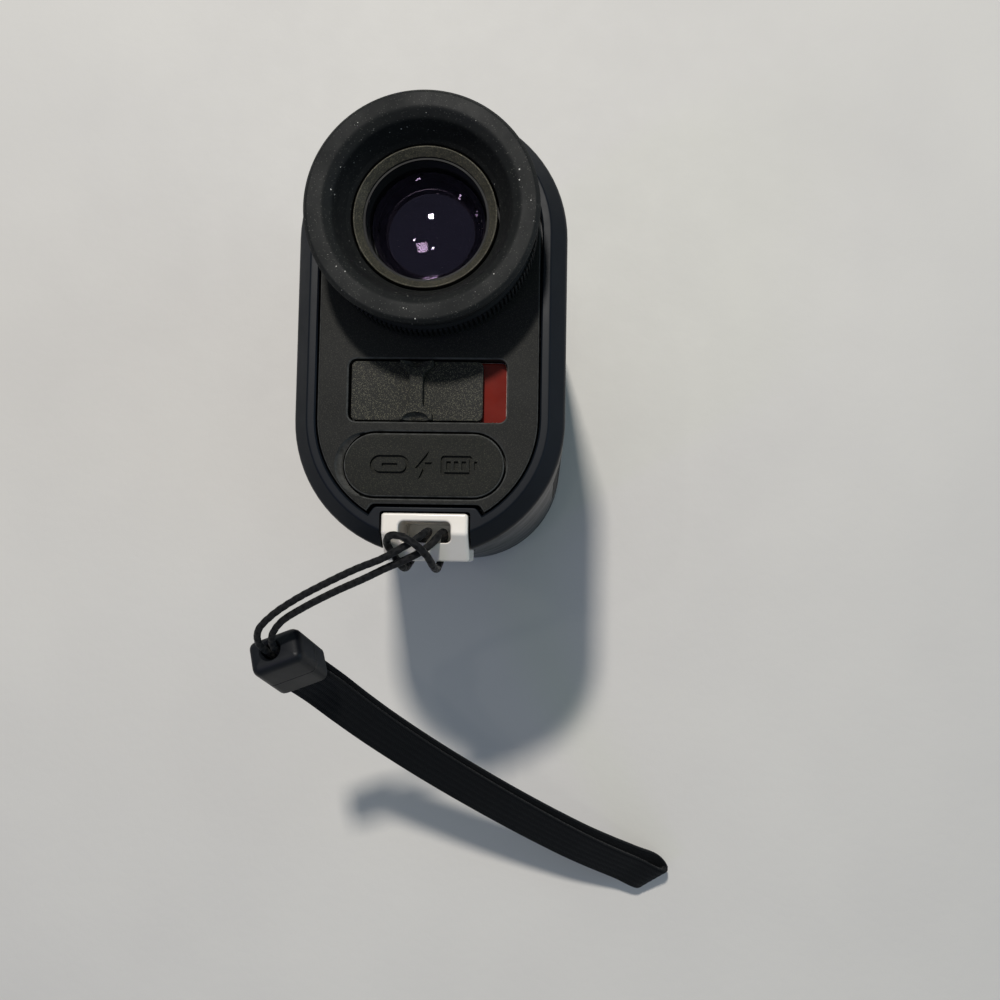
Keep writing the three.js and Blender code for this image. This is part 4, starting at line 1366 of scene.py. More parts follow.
@dataclass
class RearPanel:
    """The charcoal plate with the switch window, the red marker, the slider and the port cover."""

    plate: Span = measured("rear_panel")
    slider: Span = measured("slope_slider")
    cover: Span = measured("port_cover")
    red: Span = measured("red_indicator")
    eyepiece: Span = measured("eyepiece_tube")
    window_x: Point = (-12.2, 12.1)
    window_half: float = 4.85
    eye_hole: float = 13.4
    recess_floor: float = 87.8
    scoop: Corner = (-9.0, 5.0, 88.7)
    slider_half: float = 4.55
    slider_thick: float = 1.4
    rib_rise: float = 1.2
    rib_waist: Point = (1.05, 2.4)
    rib_flare: Point = (2.5, 3.6)
    thumb: Corner = (2.15, 1.45, 1.5)
    prongs: Point = (-2.0, 1.1)
    prong_wide: float = 0.9
    plug: Point = (2.85, 1.95)
    plug_radius: float = 1.15
    flap: Point = (88.1, 88.6)
    mark_depth: float = 0.5
    mark_line: float = 0.5

    @property
    def middle(self) -> Point:
        """Middle of the port cover."""
        return self.cover.mid_x, self.cover.mid_y

    def stadium(self, grow: float = 0.0) -> Stadium:
        """The cover's outline, grown by a margin."""
        radius = self.cover.half_y
        return Stadium(*self.middle, self.cover.half_x - radius, radius + grow)

    def build_plate(self, housing: Housing) -> BMesh:
        """Make the plate with its openings.

        Args:
            housing: The shell that it sits in.

        Returns:
            The plate.
        """
        top, y = self.plate.z1, self.slider.mid_y
        plate = loft(housing.section(self.plate.half_x), slab(self.plate.z0, top, 0.25))
        window = rectangle(self.window_x, (y - self.window_half, y + self.window_half), 1.2)
        scoop_x, scoop_radius, floor = self.scoop
        scoop = Stadium(scoop_x, self.cover.mid_y, 0, scoop_radius, steps=32)
        eye = Stadium(0, self.eyepiece.mid_y, 0, self.eye_hole, steps=48)
        cutters = [
            loft(housing.notch(0), pocket(CUT_LOW, top, 0.2)),
            loft(eye, pocket(CUT_LOW, top, 0.3)),
            loft(window, pocket(CUT_LOW, top, 0.22)),
            loft(self.stadium(0.3), pocket(self.recess_floor, top, 0.2)),
            loft(scoop, [(-1.6, floor), (-0.9, floor + 0.15), (-0.3, floor + 0.6), (0, top), (0, top + 2)]),
            loft(Stadium(*self.middle, *self.plug), [(0, CUT_LOW), (0, CUT_HIGH)]),
        ]
        return combine(plate, cutters, Join.CUT)

    def build_slider(self) -> BMesh:
        """Make the switch plate with its I-shaped rib and thumb scoops.

        Returns:
            The slider.
        """
        box, half = self.slider, self.slider_half
        x, y, top = box.mid_x, box.mid_y, box.z1 - self.rib_rise
        outline = rectangle((box.x0, box.x1), (y - half, y + half), 0.8)
        plate = loft(outline, slab(top - self.slider_thick, top, 0.12))
        (waist, bend), (flare, end) = self.rib_waist, self.rib_flare
        quarter = ((flare, half, TINY), (flare, end, 0.3), (waist, bend, 0.9))
        corners: list[Corner] = []
        for right, up in ((1, 1), (-1, 1), (-1, -1), (1, -1)):
            run = quarter if right * up < 0 else reversed(quarter)
            corners += [(x + right * a, y + up * b, r) for a, b, r in run]
        rib = loft(Cornered(tuple(corners)), [(0, top - 0.5), (0, box.z1 - 0.15),
                                              (-0.05, box.z1 - 0.04), (-0.18, box.z1)])
        scoops = [ball(Vector((x, y + side * (half + 0.25), box.z1 + 0.1)), Vector(self.thumb))
                  for side in (1, -1)]
        slider = combine(plate, [combine(rib, scoops, Join.CUT)], Join.ADD)
        prongs = []
        for offset in self.prongs:
            foot = rectangle((x + offset, x + offset + self.prong_wide), (y - 1.5, y + 1.5), 0.1)
            prongs.append(loft(foot, [(0, box.z0), (0, top - 1)]))
        return combine(slider, prongs, Join.ADD)

    def build_marks(self) -> list[BMesh]:
        """Make the cutters of the charging pictogram: a socket, a bolt and a battery.

        Returns:
            The cutters.
        """
        x, y = self.middle
        low, high = self.cover.z1 - self.mark_depth, self.cover.z1 + 1
        bolt = ((0.9, 2.3), (-1.35, -0.45), (-0.1, -0.45), (-0.9, -2.3), (1.35, 0.45), (0.1, 0.45))
        tongue, pole, bar = (-6.4, -4.0, 0.28, 0.2), (7.65, 8.15, 0.65, 0.1), (3.45, 4.15, 0.65, 0.1)
        bars = [(bar[0] + 1.15 * index, bar[1] + 1.15 * index, *bar[2:]) for index in range(3)]
        socket = Stadium(x - 5.2, y, 1.5, 1.5)
        cell = rectangle((x + 2.6, x + 7.4), (y - 1.5, y + 1.5), 0.5)
        solid: list[Outline] = [Cornered(tuple((x + a, y + b, TINY) for a, b in bolt))]
        for left, right, half, corner in (tongue, pole, *bars):
            solid.append(rectangle((x + left, x + right), (y - half, y + half), corner))
        marks = [groove(outline, self.mark_line, low, high) for outline in (socket, cell)]
        return marks + [loft(outline, [(0, low), (0, high)]) for outline in solid]

    def build_cover(self) -> BMesh:
        """Make the rubber port cover with its plug and pictogram.

        Returns:
            The cover.
        """
        low, plug_high = self.flap
        cover = loft(self.stadium(), slab(low, self.cover.z1, 0.35, 0.1))
        plug = Stadium(*self.middle, self.plug[0], self.plug_radius)
        plug = loft(plug, slab(self.cover.z0, plug_high, 0.05, 0.25))
        return combine(combine(cover, [plug], Join.ADD), self.build_marks(), Join.CUT)

    def build(self, shop: PaintShop, housing: Housing) -> None:
        """Build and dress the panel and what sits in it.

        Args:
            shop: Where the materials come from.
            housing: The shell that it sits in.
        """
        red = rectangle((self.red.x0, self.red.x1), (self.red.y0, self.red.y1), 0.9)
        red_plate = loft(red, slab(self.red.z0, self.red.z1, 0.12))
        plate, slider, cover = self.build_plate(housing), self.build_slider(), self.build_cover()
        Piece("rear_plate", plate, Body.MAIN, "panel", "rear_panel", PANEL).make(shop)
        Piece("red_marker", red_plate, Body.MAIN, "red_plastic", "red_indicator", RED).make(shop)
        Piece("slope_slide_plate", slider, Body.SLOPE, "slider_plastic", "slope_slider", SLIDER).make(shop)
        Piece("port_flap", cover, Body.COVER, "cover_rubber", "port_cover", COVER).make(shop)


@dataclass(frozen=True)
class Key:
    """A rubber button on the +Y side."""

    name: str
    node: str
    body: Body
    height: float
    reach: float


@dataclass
class Keys:
    """The two buttons, their caps curved like the body."""

    POWER: ClassVar[Key] = Key("key_power", "power_button", Body.POWER_KEY, 42, 2.4)
    MODE: ClassVar[Key] = Key("key_mode", "mode_button", Body.MODE_KEY, 61, 0)
    radius: float = 4.2
    crown: float = 21.75
    edge: float = 0.45
    flange: float = 0.7
    mark_radius: float = 1.55
    mark_line: float = 0.45
    mark_floor: float = 35.55
    mark_top: float = 37.0

    def build_key(self, key: Key, housing: Housing) -> BMesh:
        """Make one button with its mark cut in.

        Args:
            key: The button.
            housing: The shell whose curve its cap follows.

        Returns:
            The button.
        """
        box = Span.of(key.node)
        outline = Stadium(0, key.height, key.reach, self.radius, upright=True, steps=24)
        cap = placed(loft(outline, [(0, box.y0), (0, 38)]), ALONG_Y)
        curve = loft(housing.section(self.crown, 64), [(0, 20), (0, 85)])
        cap = combine(cap, [curve], Join.COMMON)
        cap = soften(cap, self.edge, lambda c: c.y > self.crown + 12, segments=4, angle=45)
        flange = placed(loft(outline, [(1, box.y0), (1, box.y0 + self.flange)]), ALONG_Y)
        cap = combine(cap, [flange], Join.ADD)
        mark = Stadium(0, key.height, 0, self.mark_radius, steps=22)
        cutters = [placed(groove(mark, self.mark_line, self.mark_floor, self.mark_top), ALONG_Y)]
        if key is Keys.POWER:
            bar = rectangle((-0.22, 0.22), (key.height + 0.3, key.height + 2.1), 0.15)
            cutters.append(placed(loft(bar, [(0, self.mark_floor), (0, self.mark_top)]), ALONG_Y))
        return combine(cap, cutters, Join.CUT)

    def build(self, shop: PaintShop, housing: Housing) -> None:
        """Build and dress both buttons.

        Args:
            shop: Where the material comes from.
            housing: The shell that they sit in.
        """
        for key in (Keys.POWER, Keys.MODE):
            Piece(key.name, self.build_key(key, housing), key.body, "button_rubber", key.node, KEY).make(shop)


@dataclass
class Eyepiece:
    """The eyecup, the ribbed dioptre ring, the eye lens and its trim."""

    cup: Span = measured("eyecup")
    collar: Span = measured("dioptre_ring")
    trim: Span = measured("ocular_ring")
    ribs: int = 132
    rib_size: Point = (0.6, 0.46)
    rib_at: float = 16.17
    rib_round: float = 0.13
    cell_wall: float = 10.9
    cell_neck: float = 10.3
    cell_foot: float = 76.0
    cell_step: float = 93.6
    cell_top: float = 96.15
    baffle: Point = (8.95, 9.2)
    baffle_pitch: float = 0.5
    baffles: int = 5
    glass: tuple[float, float, float, float] = (8.6, 90.5, 92.4, 94.2)

    @property
    def y(self) -> float:
        """Where the optical axis is along Y."""
        return self.cup.mid_y

    def build_cup(self) -> BMesh:
        """Make the eyecup: a flat lip, a steep funnel and a waist outside.

        Returns:
            The eyecup.
        """
        low, high = self.cup.z0, self.cup.z1
        profile = rounded([
            (10.95, low, 0), (10.95, low + 1.5, 0.4), (11.5, low + 2.3, 0.8), (12.3, 99.8, 1.8),
            (12.9, 101.5, 1.4), (14.2, high, 1.1), (16.4, high, 0.45),
            (16.95, 101.8, 0.3), (16.7, 100.6, 1.2), (15.7, 98.6, 1.6), (15.3, 97.3, 0.6),
            (15.8, 96.4, 0.3), (15.8, low, 0.15),
        ], closed=True, steps=5)
        return turned(profile, self.y, 128)

    def build_collar(self) -> BMesh:
        """Make the dioptre ring with its fine ribs.

        Returns:
            The ring.
        """
        low, high = self.collar.z0, self.collar.z1
        profile = rounded([
            (13.4, low, 0), (15.95, low, 0.3), (15.95, low + 0.5, 0.1), (16.1, low + 0.6, 0),
            (16.1, high - 0.5, 0), (15.7, high, 0.25), (11.3, high, 0.1), (11.3, high - 1, 0),
            (13.4, high - 1, 0),
        ], closed=True)
        ring = turned(profile, self.y, self.ribs)
        rib = bmesh.new()
        bmesh.ops.create_cube(rib, size=1)
        bmesh.ops.scale(rib, vec=(*self.rib_size, high - low - 1.1), verts=rib.verts)
        outer = [e for e in rib.edges if sum(v.co.x > 0 for v in e.verts) == 2]
        bmesh.ops.bevel(rib, geom=outer, offset=self.rib_round, offset_type="OFFSET", segments=2,
                        profile=0.5, affect="EDGES", clamp_overlap=True, material=-1)
        bmesh.ops.translate(rib, vec=(self.rib_at, self.y, (low + high) / 2), verts=rib.verts)
        copies = self.ribs - 1
        geometry = rib.verts[:] + rib.edges[:] + rib.faces[:]
        bmesh.ops.spin(rib, geom=geometry, cent=(0, self.y, 0), axis=(0, 0, 1), dvec=(0, 0, 0),
                       angle=2 * math.pi * copies / self.ribs, steps=copies, use_merge=False,
                       use_duplicate=True)
        gather(ring, rib)
        return ring

    def build_cell(self) -> BMesh:
        """Make the lens cell with baffle threads above the lens.

        Returns:
            The cell.
        """
        crest, root = self.baffle
        first = self.cell_top - 0.35
        threads: list[Point] = []
        for index in range(self.baffles):
            height = first - self.baffle_pitch * index
            threads += [(crest, height), (root, height - 0.18), (root, height - 0.3), (crest, height - 0.42)]
        profile = [(self.cell_wall, self.cell_foot), (self.cell_wall, self.cell_step),
                   (self.cell_neck, self.cell_step), (self.cell_neck, self.cell_top - 0.15),
                   (self.cell_neck - 0.15, self.cell_top), (9.0, self.cell_top), *threads,
                   (8.9, 93.2), (8.9, 90.2), (7.6, 90.2), (7.6, 83.2), (8.9, 83.2), (8.9, self.cell_foot)]
        return turned(profile, self.y)

    def build_trim(self) -> BMesh:
        """Make the grey ring, a cone that falls towards the lens.

        Returns:
            The ring.
        """
        low, high = self.trim.z0, self.trim.z1
        profile = rounded([(9.4, low - 0.7, 0), (10.6, low - 0.7, 0), (10.6, high, 0.1), (10.4, high, 0.08),
                           (9.35, low - 0.5, 0.06)], closed=True)
        return turned(profile, self.y)

    def build(self, shop: PaintShop) -> None:
        """Build and dress the eyepiece.

        Args:
            shop: Where the materials come from.
        """
        cup, collar, cell = self.build_cup(), self.build_collar(), self.build_cell()
        trim, glass = self.build_trim(), turned(lens_profile(*self.glass), self.y)
        Piece("eyecup_cup", cup, Body.DIOPTRE, "eyecup_rubber", "eyecup", CUP_RUBBER,
              weighted=False).make(shop)
        Piece("dioptre_collar", collar, Body.DIOPTRE, "ring_rubber", "dioptre_ring", RING_RUBBER).make(shop)
        Piece("ocular_barrel", cell, Body.OCULAR, "inner_plastic", "ocular_cell", BLACK).make(shop)
        Piece("ocular_trim", trim, Body.OCULAR, "ring_metal", "ocular_ring", RING_METAL).make(shop)
        Piece("eye_glass", glass, Body.OCULAR, "lens_glass", "eye_lens", LENS, weighted=False).make(shop)


def lens_profile(radius: float, back: float, rim: float, crown: float) -> list[Point]:
    """Draw half of a lens with one flat and one bulging face.

    Args:
        radius: Its radius.
        back: Height of its flat face.
        rim: Height of the bulging face at the rim.
        crown: Height of the bulging face on the axis.

    Returns:
        Its profile from axis to axis.
    """
    steps = 24
    face = [(radius * i / steps, crown + (rim - crown) * (i / steps) ** 2) for i in range(steps, -1, -1)]
    return [(0.0, back), (radius, back), *face]


@dataclass
class FrontOptics:
    """The objective and the laser emitter behind the front rim."""

    objective_y: ClassVar[float] = 14.25
    emitter_y: ClassVar[float] = -17.0
    baffles: int = 6
    baffle_pitch: float = 0.7
    mouth: Point = (2.2, 2.35)
    trim_middle: float = 12.3
    notch: Point = (0.6, 0.7)

    def barrel(self, outer: float, bore: float, length: float, seat: float,
               clear: float) -> list[Point]:
        """Draw a lens barrel with baffle threads behind its lens.

        Args:
            outer: Outer radius.
            bore: Radius of the lens seat.
            length: Height of its far end.
            seat: Height of the seat.
            clear: Radius behind the seat.

        Returns:
            Its profile.
        """
        threads: list[Point] = []
        for index in range(self.baffles):
            height = seat + 0.4 + self.baffle_pitch * index
            threads += [(clear, height), (clear + 0.3, height + 0.3), (clear, height + 0.6)]
        low, rim = self.mouth
        return [(outer, rim), (outer, length), (clear, length), *threads[::-1], (clear, seat), (bore, seat),
                (bore, low), (outer - 0.15, low)]

    def build_trim(self) -> BMesh:
        """Make the ring that holds the objective, with two notches for a spanner.

        Returns:
            The ring.
        """
        y, middle = self.objective_y, self.trim_middle
        trim = turned(rounded([(11.9, 4.9, 0), (12.7, 4.9, 0), (12.7, 2.8, 0.2), (middle, 2.8, 0.2),
                               (11.9, 3.6, 0.1)], closed=True), y)
        wide, high = self.notch
        notches = []
        for side in (1, -1):
            outline = rectangle((side * middle - wide, side * middle + wide), (y - high, y + high), 0.2)
            notches.append(loft(outline, [(0, 2), (0, 3.5)]))
        return combine(trim, notches, Join.CUT)

    def build(self, shop: PaintShop) -> None:
        """Build and dress the front optics.

        Args:
            shop: Where the materials come from.
        """
        cell = turned(self.barrel(14.3, 13.0, 17, 9.2, 11.4), self.objective_y)
        lens = turned(lens_profile(12.7, 8.9, 5.6, 4.0), self.objective_y, 128)
        tube = turned(self.barrel(7.6, 6.6, 30, 7.6, 5.6), self.emitter_y)
        beam = turned(lens_profile(6.3, 7.3, 4.6, 3.6), self.emitter_y)
        main, plain = Body.MAIN, "inner_plastic"
        Piece("objective_barrel", cell, main, plain, "objective_cell", BLACK).make(shop)
        Piece("objective_trim", self.build_trim(), main, plain, "objective_retainer", BLACK).make(shop)
        Piece("objective_glass", lens, main, "lens_glass", "objective_lens", FRONT_LENS,
              weighted=False).make(shop)
        Piece("emitter_tube", tube, main, plain, "emitter_barrel", BLACK).make(shop)
        Piece("emitter_glass", beam, main, "lens_glass", "emitter_lens", FRONT_LENS,
              weighted=False).make(shop)


# ---------------------------------------------------------------------------
# Wrist strap
# ---------------------------------------------------------------------------


class Route:
    """A smooth line through chosen points, measured along its length, that carries a section's frame."""

    def __init__(self, points: Sequence[Vector], spans: int = 16,
                 guide: Callable[[float], Vector] | None = None) -> None:
        """Draw the line.

        Args:
            points: The points that it passes through.
            spans: Steps between two of them.
            guide: Gives the direction across at a share of the length; without it the frame doesn't twist.
        """
        ends = [points[0] * 2 - points[1], *points, points[-1] * 2 - points[-2]]
        self.line = [points[0]]
        for group in zip(ends, ends[1:], ends[2:], ends[3:]):
            self.line += [self._between(*group, step / spans) for step in range(1, spans + 1)]
        self.lengths = [0.0]
        for start, end in zip(self.line, self.line[1:]):
            self.lengths.append(self.lengths[-1] + (end - start).length)
        before, after = self.line[:1] + self.line, self.line[1:] + self.line[-1:]
        self.ahead = [(b - a).normalized() for a, b in zip(before, after)]
        self.across: list[Vector] = []
        side = Vector((0.3, 0.2, 1))
        for index, ahead in enumerate(self.ahead):
            if guide:
                side = guide(self.lengths[index] / self.length)
            side = (side - ahead * side.dot(ahead)).normalized()
            self.across.append(side)

    @property
    def length(self) -> float:
        """Length of the whole line."""
        return self.lengths[-1]

    @staticmethod
    def _between(before: Vector, start: Vector, end: Vector, after: Vector, share: float) -> Vector:
        """Place a point on a centripetal curve through four points.

        Args:
            before: The point before the stretch.
            start: Where the stretch starts.
            end: Where it ends.
            after: The point after it.
            share: How far along the stretch the point is.

        Returns:
            The point.
        """
        pairs = ((before, start), (start, end), (end, after))
        first, middle, last = (math.sqrt((b - a).length) for a, b in pairs)
        span = (end - start) / middle
        leave = ((start - before) / first - (end - before) / (first + middle) + span) * middle
        reach = (span - (after - start) / (middle + last) + (after - end) / last) * middle
        square, cube = share ** 2, share ** 3
        return (start * (2 * cube - 3 * square + 1) + leave * (cube - 2 * square + share)
                + end * (3 * square - 2 * cube) + reach * (cube - square))

    def place(self, along: float, side: float = 0.0, rise: float = 0.0) -> Vector:
        """Find a point beside the line.

        Args:
            along: Distance along the line.
            side: Distance across it.
            rise: Distance off its face.

        Returns:
            The point.
        """
        index = min(max(bisect_right(self.lengths, along) - 1, 0), len(self.lengths) - 2)
        share = (along - self.lengths[index]) / (self.lengths[index + 1] - self.lengths[index])
        across = self.across[index].lerp(self.across[index + 1], share)
        face = self.ahead[index].lerp(self.ahead[index + 1], share).cross(across).normalized()
        return self.line[index].lerp(self.line[index + 1], share) + across * side + face * rise

    def bend(self, shape: BMesh) -> None:
        """Lay a straight shape that runs up its own Z along the line."""
        for vert in shape.verts:
            vert.co = self.place(vert.co.z, vert.co.x, vert.co.y)


def drawn_out(outline: Sequence[Point], length: float, steps: int) -> BMesh:
    """Pull an outline straight up into a solid with even rows and caps.

    Args:
        outline: Its section.
        length: How far it is pulled.
        steps: How many rows it has.

    Returns:
        The solid.
    """
    shape = bmesh.new()
    verts = [shape.verts.new((x, y, 0)) for x, y in outline]
    edges = [shape.edges.new(pair) for pair in zip(verts, verts[1:] + verts[:1])]
    rise = (0, 0, length / steps)
    made = bmesh.ops.spin(shape, geom=verts + edges, cent=(0, 0, 0), axis=(0, 0, 1), dvec=rise,
                          angle=0, steps=steps, use_merge=False, use_duplicate=False)
    far = [item for item in made["geom_last"] if isinstance(item, bmesh.types.BMEdge)]
    for rim in (edges, far):
        bmesh.ops.contextual_create(shape, geom=rim)
    bmesh.ops.recalc_face_normals(shape, faces=shape.faces)
    return shape


def map_rows(shape: BMesh, across: Callable[[Vector], float], period: float | None) -> None:
    """Give a straight drawn-out shape a UV map in millimetres along it and a measure across it.

    Args:
        shape: The shape.
        across: Measures a point across or round the shape.
        period: Where the measure starts again, if it does.
    """
    layer = shape.loops.layers.uv.new("UVMap")
    for face in shape.faces:
        values = [across(loop.vert.co) for loop in face.loops]
        for loop, value in zip(face.loops, values):
            if period and max(values) - min(values) > period / 2 and value < period / 2:
                value += period
            loop[layer].uv = (loop.vert.co.z, value)


@dataclass
class WristStrap:
    """The cord hitched on the lug, the crimp block and the webbing loop."""

    cord_diameter: float = 1.15
    braid_pitch: float = 1.7
    braid_strands: int = 3
    braid_relief: float = 0.035
    cord_sides: int = 20
    cord_row: float = 0.17
    path_rows: int = 300
    crimp_at: Vector = field(default_factory=lambda: Vector((-25, -53.3, 71.3)))
    crimp_wide: Vector = field(default_factory=lambda: Vector((0.931, 0.36, 0.057)).normalized())
    crimp_long: Vector = field(default_factory=lambda: Vector((0.209, -0.4, -0.892)).normalized())
    crimp_size: Corner = (9, 6, 11.5)
    crimp_corner: float = 1.3
    mouth_half: float = 1.95
    webbing_end: Vector = field(default_factory=lambda: Vector((0.7, 0.56, 0.36)).normalized())
    webbing_wide: float = 8.2
    webbing_thick: float = 1.25
    webbing_nip: float = 0.45
    webbing_fold: float = 1.75
    webbing_row: float = 0.55
    webbing_edge: float = 0.12
    webbing_relief: float = 0.09
    webbing_ridges: int = 6
    sheet_least: float = 0.010
    cord_route: tuple[Corner, ...] = (
        (-26.9, -52.3, 73.6), (-27.5, -51.1, 76.3), (-28, -49.6, 79), (-27.3, -47.4, 81.4),
        (-24.8, -45, 83), (-20.8, -42.4, 84.6), (-16.2, -40, 86.3), (-10.6, -37.4, 88.4),
        (-6.2, -35.7, 90.4), (-3.4, -34.2, 91.3), (-1.3, -32.9, 91.2), (-0.1, -31.8, 89.6),
        (0.2, -31.4, 87.2), (0, -31.6, 84.8), (-0.8, -32.3, 82.6), (-2, -34, 81.7),
        (-3.1, -36.2, 82.2), (-3.5, -37.1, 84.4), (-3.9, -36.7, 87), (-4.7, -35.2, 88.7),
        (-5.6, -33.4, 90.2), (-4.9, -32.3, 92), (-3, -32.4, 93), (-0.9, -33.6, 92.8),
        (0.6, -35.2, 91.2), (1.2, -36.6, 88.8), (1.4, -37.2, 86), (1.5, -36.9, 83.5),
        (1.8, -35.4, 81.9), (2.2, -33.4, 81.9), (2.4, -32, 83.4), (2.5, -31.5, 86.2),
        (2.2, -31.9, 88.6), (1.2, -33.3, 90.1), (-0.8, -34.8, 90.1), (-3.2, -36, 89.5),
        (-6, -37.2, 88.6), (-9.4, -38.8, 87.2), (-14.6, -41.1, 85.2), (-20, -43.8, 83),
        (-23.6, -46, 81.4), (-25.6, -48.2, 79.4), (-26.1, -49.6, 77.8), (-26.1, -50.6, 76.4),
        (-25.6, -51.8, 73.7),
    )
    webbing_route: tuple[Corner, ...] = (
        (-23.6, -56, 65.6), (-21.2, -59.2, 59.4), (-15.2, -65.9, 50.5), (-5.9, -74.1, 41.4),
        (5.1, -82.5, 32.7), (16.6, -90.6, 24), (27.6, -97.7, 16), (36.2, -102.6, 9.6), (42.6, -106.2, 5.3),
    )

    def build_crimp(self) -> BMesh:
        """Make the crimp block: chamfered, domed at the cord's end, with a seam round it.

        Returns:
            The block.
        """
        wide, high, long = self.crimp_size
        outline = rectangle((-wide / 2, wide / 2), (-high / 2, high / 2), self.crimp_corner)
        end = long / 2
        block = loft(outline, [(-2.3, -end), (-1.3, 0.06 - end), (-0.62, 0.22 - end), (-0.25, 0.55 - end),
                               (-0.06, 1.0 - end), (0.1, 1.6 - end), (0.12, end - 0.5), (0, end - 0.2),
                               (-0.3, end)])
        seam = loft(outline, [(0.0, 0.72), (0.4, 0.55), (0.4, 0.95), (0.0, 0.8)], ring=True)
        hole = loft(Stadium(-0.6, -0.2, 0, 1.5, steps=16),
                    [(0.5, -end - 1), (0.45, -end + 0.1), (0, 0.6 - end), (0, 4 - end)])
        half = self.webbing_wide / 2 + 0.1
        mouth = rectangle((-half, half), (-self.mouth_half, self.mouth_half), 0.4)
        mouth = loft(mouth, [(0, end - 4), (0, end - 0.3), (0.4, end + 0.1), (0.4, end + 1)])
        block = combine(block, [seam, hole, mouth], Join.CUT)
        thick = self.crimp_long.cross(self.crimp_wide).normalized()
        basis = Matrix((self.crimp_wide, thick, self.crimp_long)).transposed().to_4x4()
        return placed(block, Matrix.Translation(self.crimp_at) @ basis)

    @staticmethod
    def turn_share(spot: Vector) -> float:
        """Give a point's share of the turn round the straight cord."""
        return (math.atan2(spot.y, spot.x) / (2 * math.pi)) % 1.0

    def build_cord(self, route: Route) -> BMesh:
        """Make the braided cord, with the strands' relief in its surface.

        Args:
            route: The line that it lies along.

        Returns:
            The cord.
        """
        radius = self.cord_diameter / 2
        angles = [2 * math.pi * index / self.cord_sides for index in range(self.cord_sides)]
        outline = [(radius * math.cos(angle), radius * math.sin(angle)) for angle in angles]
        shape = drawn_out(outline, route.length, int(route.length / self.cord_row))
        map_rows(shape, self.turn_share, 1.0)
        for vert in shape.verts:
            along, around = vert.co.z / self.braid_pitch, self.turn_share(vert.co) * self.braid_strands
            strand = max(abs(math.sin(math.pi * (along + way * around))) for way in (1, -1))
            swell = 1 + self.braid_relief / radius * (strand - 0.85) * 2
            vert.co.xy = vert.co.xy * swell
        route.bend(shape)
        return shape

    def webbing_line(self) -> Route:
        """Lay out both legs of the webbing and the fold between them.

        Returns:
            The line down the middle of the webbing's thickness.
        """
        middle = Route([Vector(p) for p in self.webbing_route])
        steps = 14
        legs: list[list[Vector]] = [[], []]
        for step in range(steps + 1):
            share = step / steps
            along = share * middle.length
            spot = middle.place(along)
            ahead = (middle.place(along + 0.05) - middle.place(along - 0.05)).normalized()
            across = self.crimp_wide.lerp(self.webbing_end, share)
            face = ahead.cross(across).normalized()
            spread = (self.webbing_fold - self.webbing_thick) * share ** 2 * 1.6
            apart = (self.webbing_thick + self.webbing_nip) / 2 + spread
            legs[0].append(spot + face * apart)
            legs[1].append(spot - face * apart)
        nose = middle.place(middle.length) + middle.ahead[-1] * self.webbing_fold
        return Route([*legs[0], nose, *reversed(legs[1])], guide=self.webbing_across)

    def webbing_across(self, share: float) -> Vector:
        """Give the direction across the webbing at a share of its length, turning towards the fold."""
        return self.crimp_wide.lerp(self.webbing_end, 1 - abs(2 * share - 1))

    def build_webbing(self, route: Route) -> BMesh:
        """Make the webbing, with ridges along it in both faces.

        Args:
            route: The line that it lies along.

        Returns:
            The webbing.
        """
        half, thick, steps = self.webbing_wide / 2, self.webbing_thick / 2, 36
        inset, inner = half - self.webbing_edge, half - 0.3
        edge = [(inset, -thick * 0.55), (half, 0.0), (inset, thick * 0.55)]
        upper: list[Point] = []
        for step in range(steps + 1):
            x = inner - 2 * inner * step / steps
            ridge = abs(math.sin(math.pi * self.webbing_ridges * (x + half) / (2 * half)))
            upper.append((x, thick - self.webbing_relief * (1 - ridge)))
        outline = [*edge, *upper, *((-x, -y) for x, y in edge), *((-x, -y) for x, y in upper)]
        shape = drawn_out(outline, route.length, int(route.length / self.webbing_row))
        map_rows(shape, lambda spot: spot.x, None)
        route.bend(shape)
        return shape

    def build(self, shop: PaintShop) -> None:
        """Args:
            shop: Where the materials come from.
        """
        crimp = Piece("crimp_block", self.build_crimp(), Body.MAIN, "crimp_plastic", "strap_crimp",
                      CRIMP).make(shop)
        line = Route([Vector(p) for p in self.cord_route])
        cord = Piece("strap_braid", self.build_cord(line), Body.MAIN, "cord", "strap_cord", CORD,
                     crease=180, weighted=False).make(shop)
        rows = self.path_rows
        path = [line.place(line.length * index / rows) * MM for index in range(rows + 1)]
        loop = self.webbing_line()
        webbing = Piece("webbing_loop", self.build_webbing(loop), Body.MAIN, "webbing", "strap_webbing",
                        WEBBING, crease=60, weighted=False).make(shop)
        LOG.info("cord %.1f mm, webbing %.1f mm", line.length, loop.length)


# ---------------------------------------------------------------------------
# Scene
# ---------------------------------------------------------------------------


def dress_inner_nodes(shop: PaintShop) -> None:
    """Give every CAD node that still shows the finish of its slot.

    Args:
        shop: Where the materials come from.
    """
    for part in frame["record"]["subparts"]:
        obj = frame["nodes"][part["node"]]
        if obj.hide_render:
            continue
        obj.data.materials.clear()
        obj.data.materials.append(shop.paint(SLOT_FINISH[part["material_slot"]]))
        LOG.info("%s: kept with %s", part["node"], part["material_slot"])


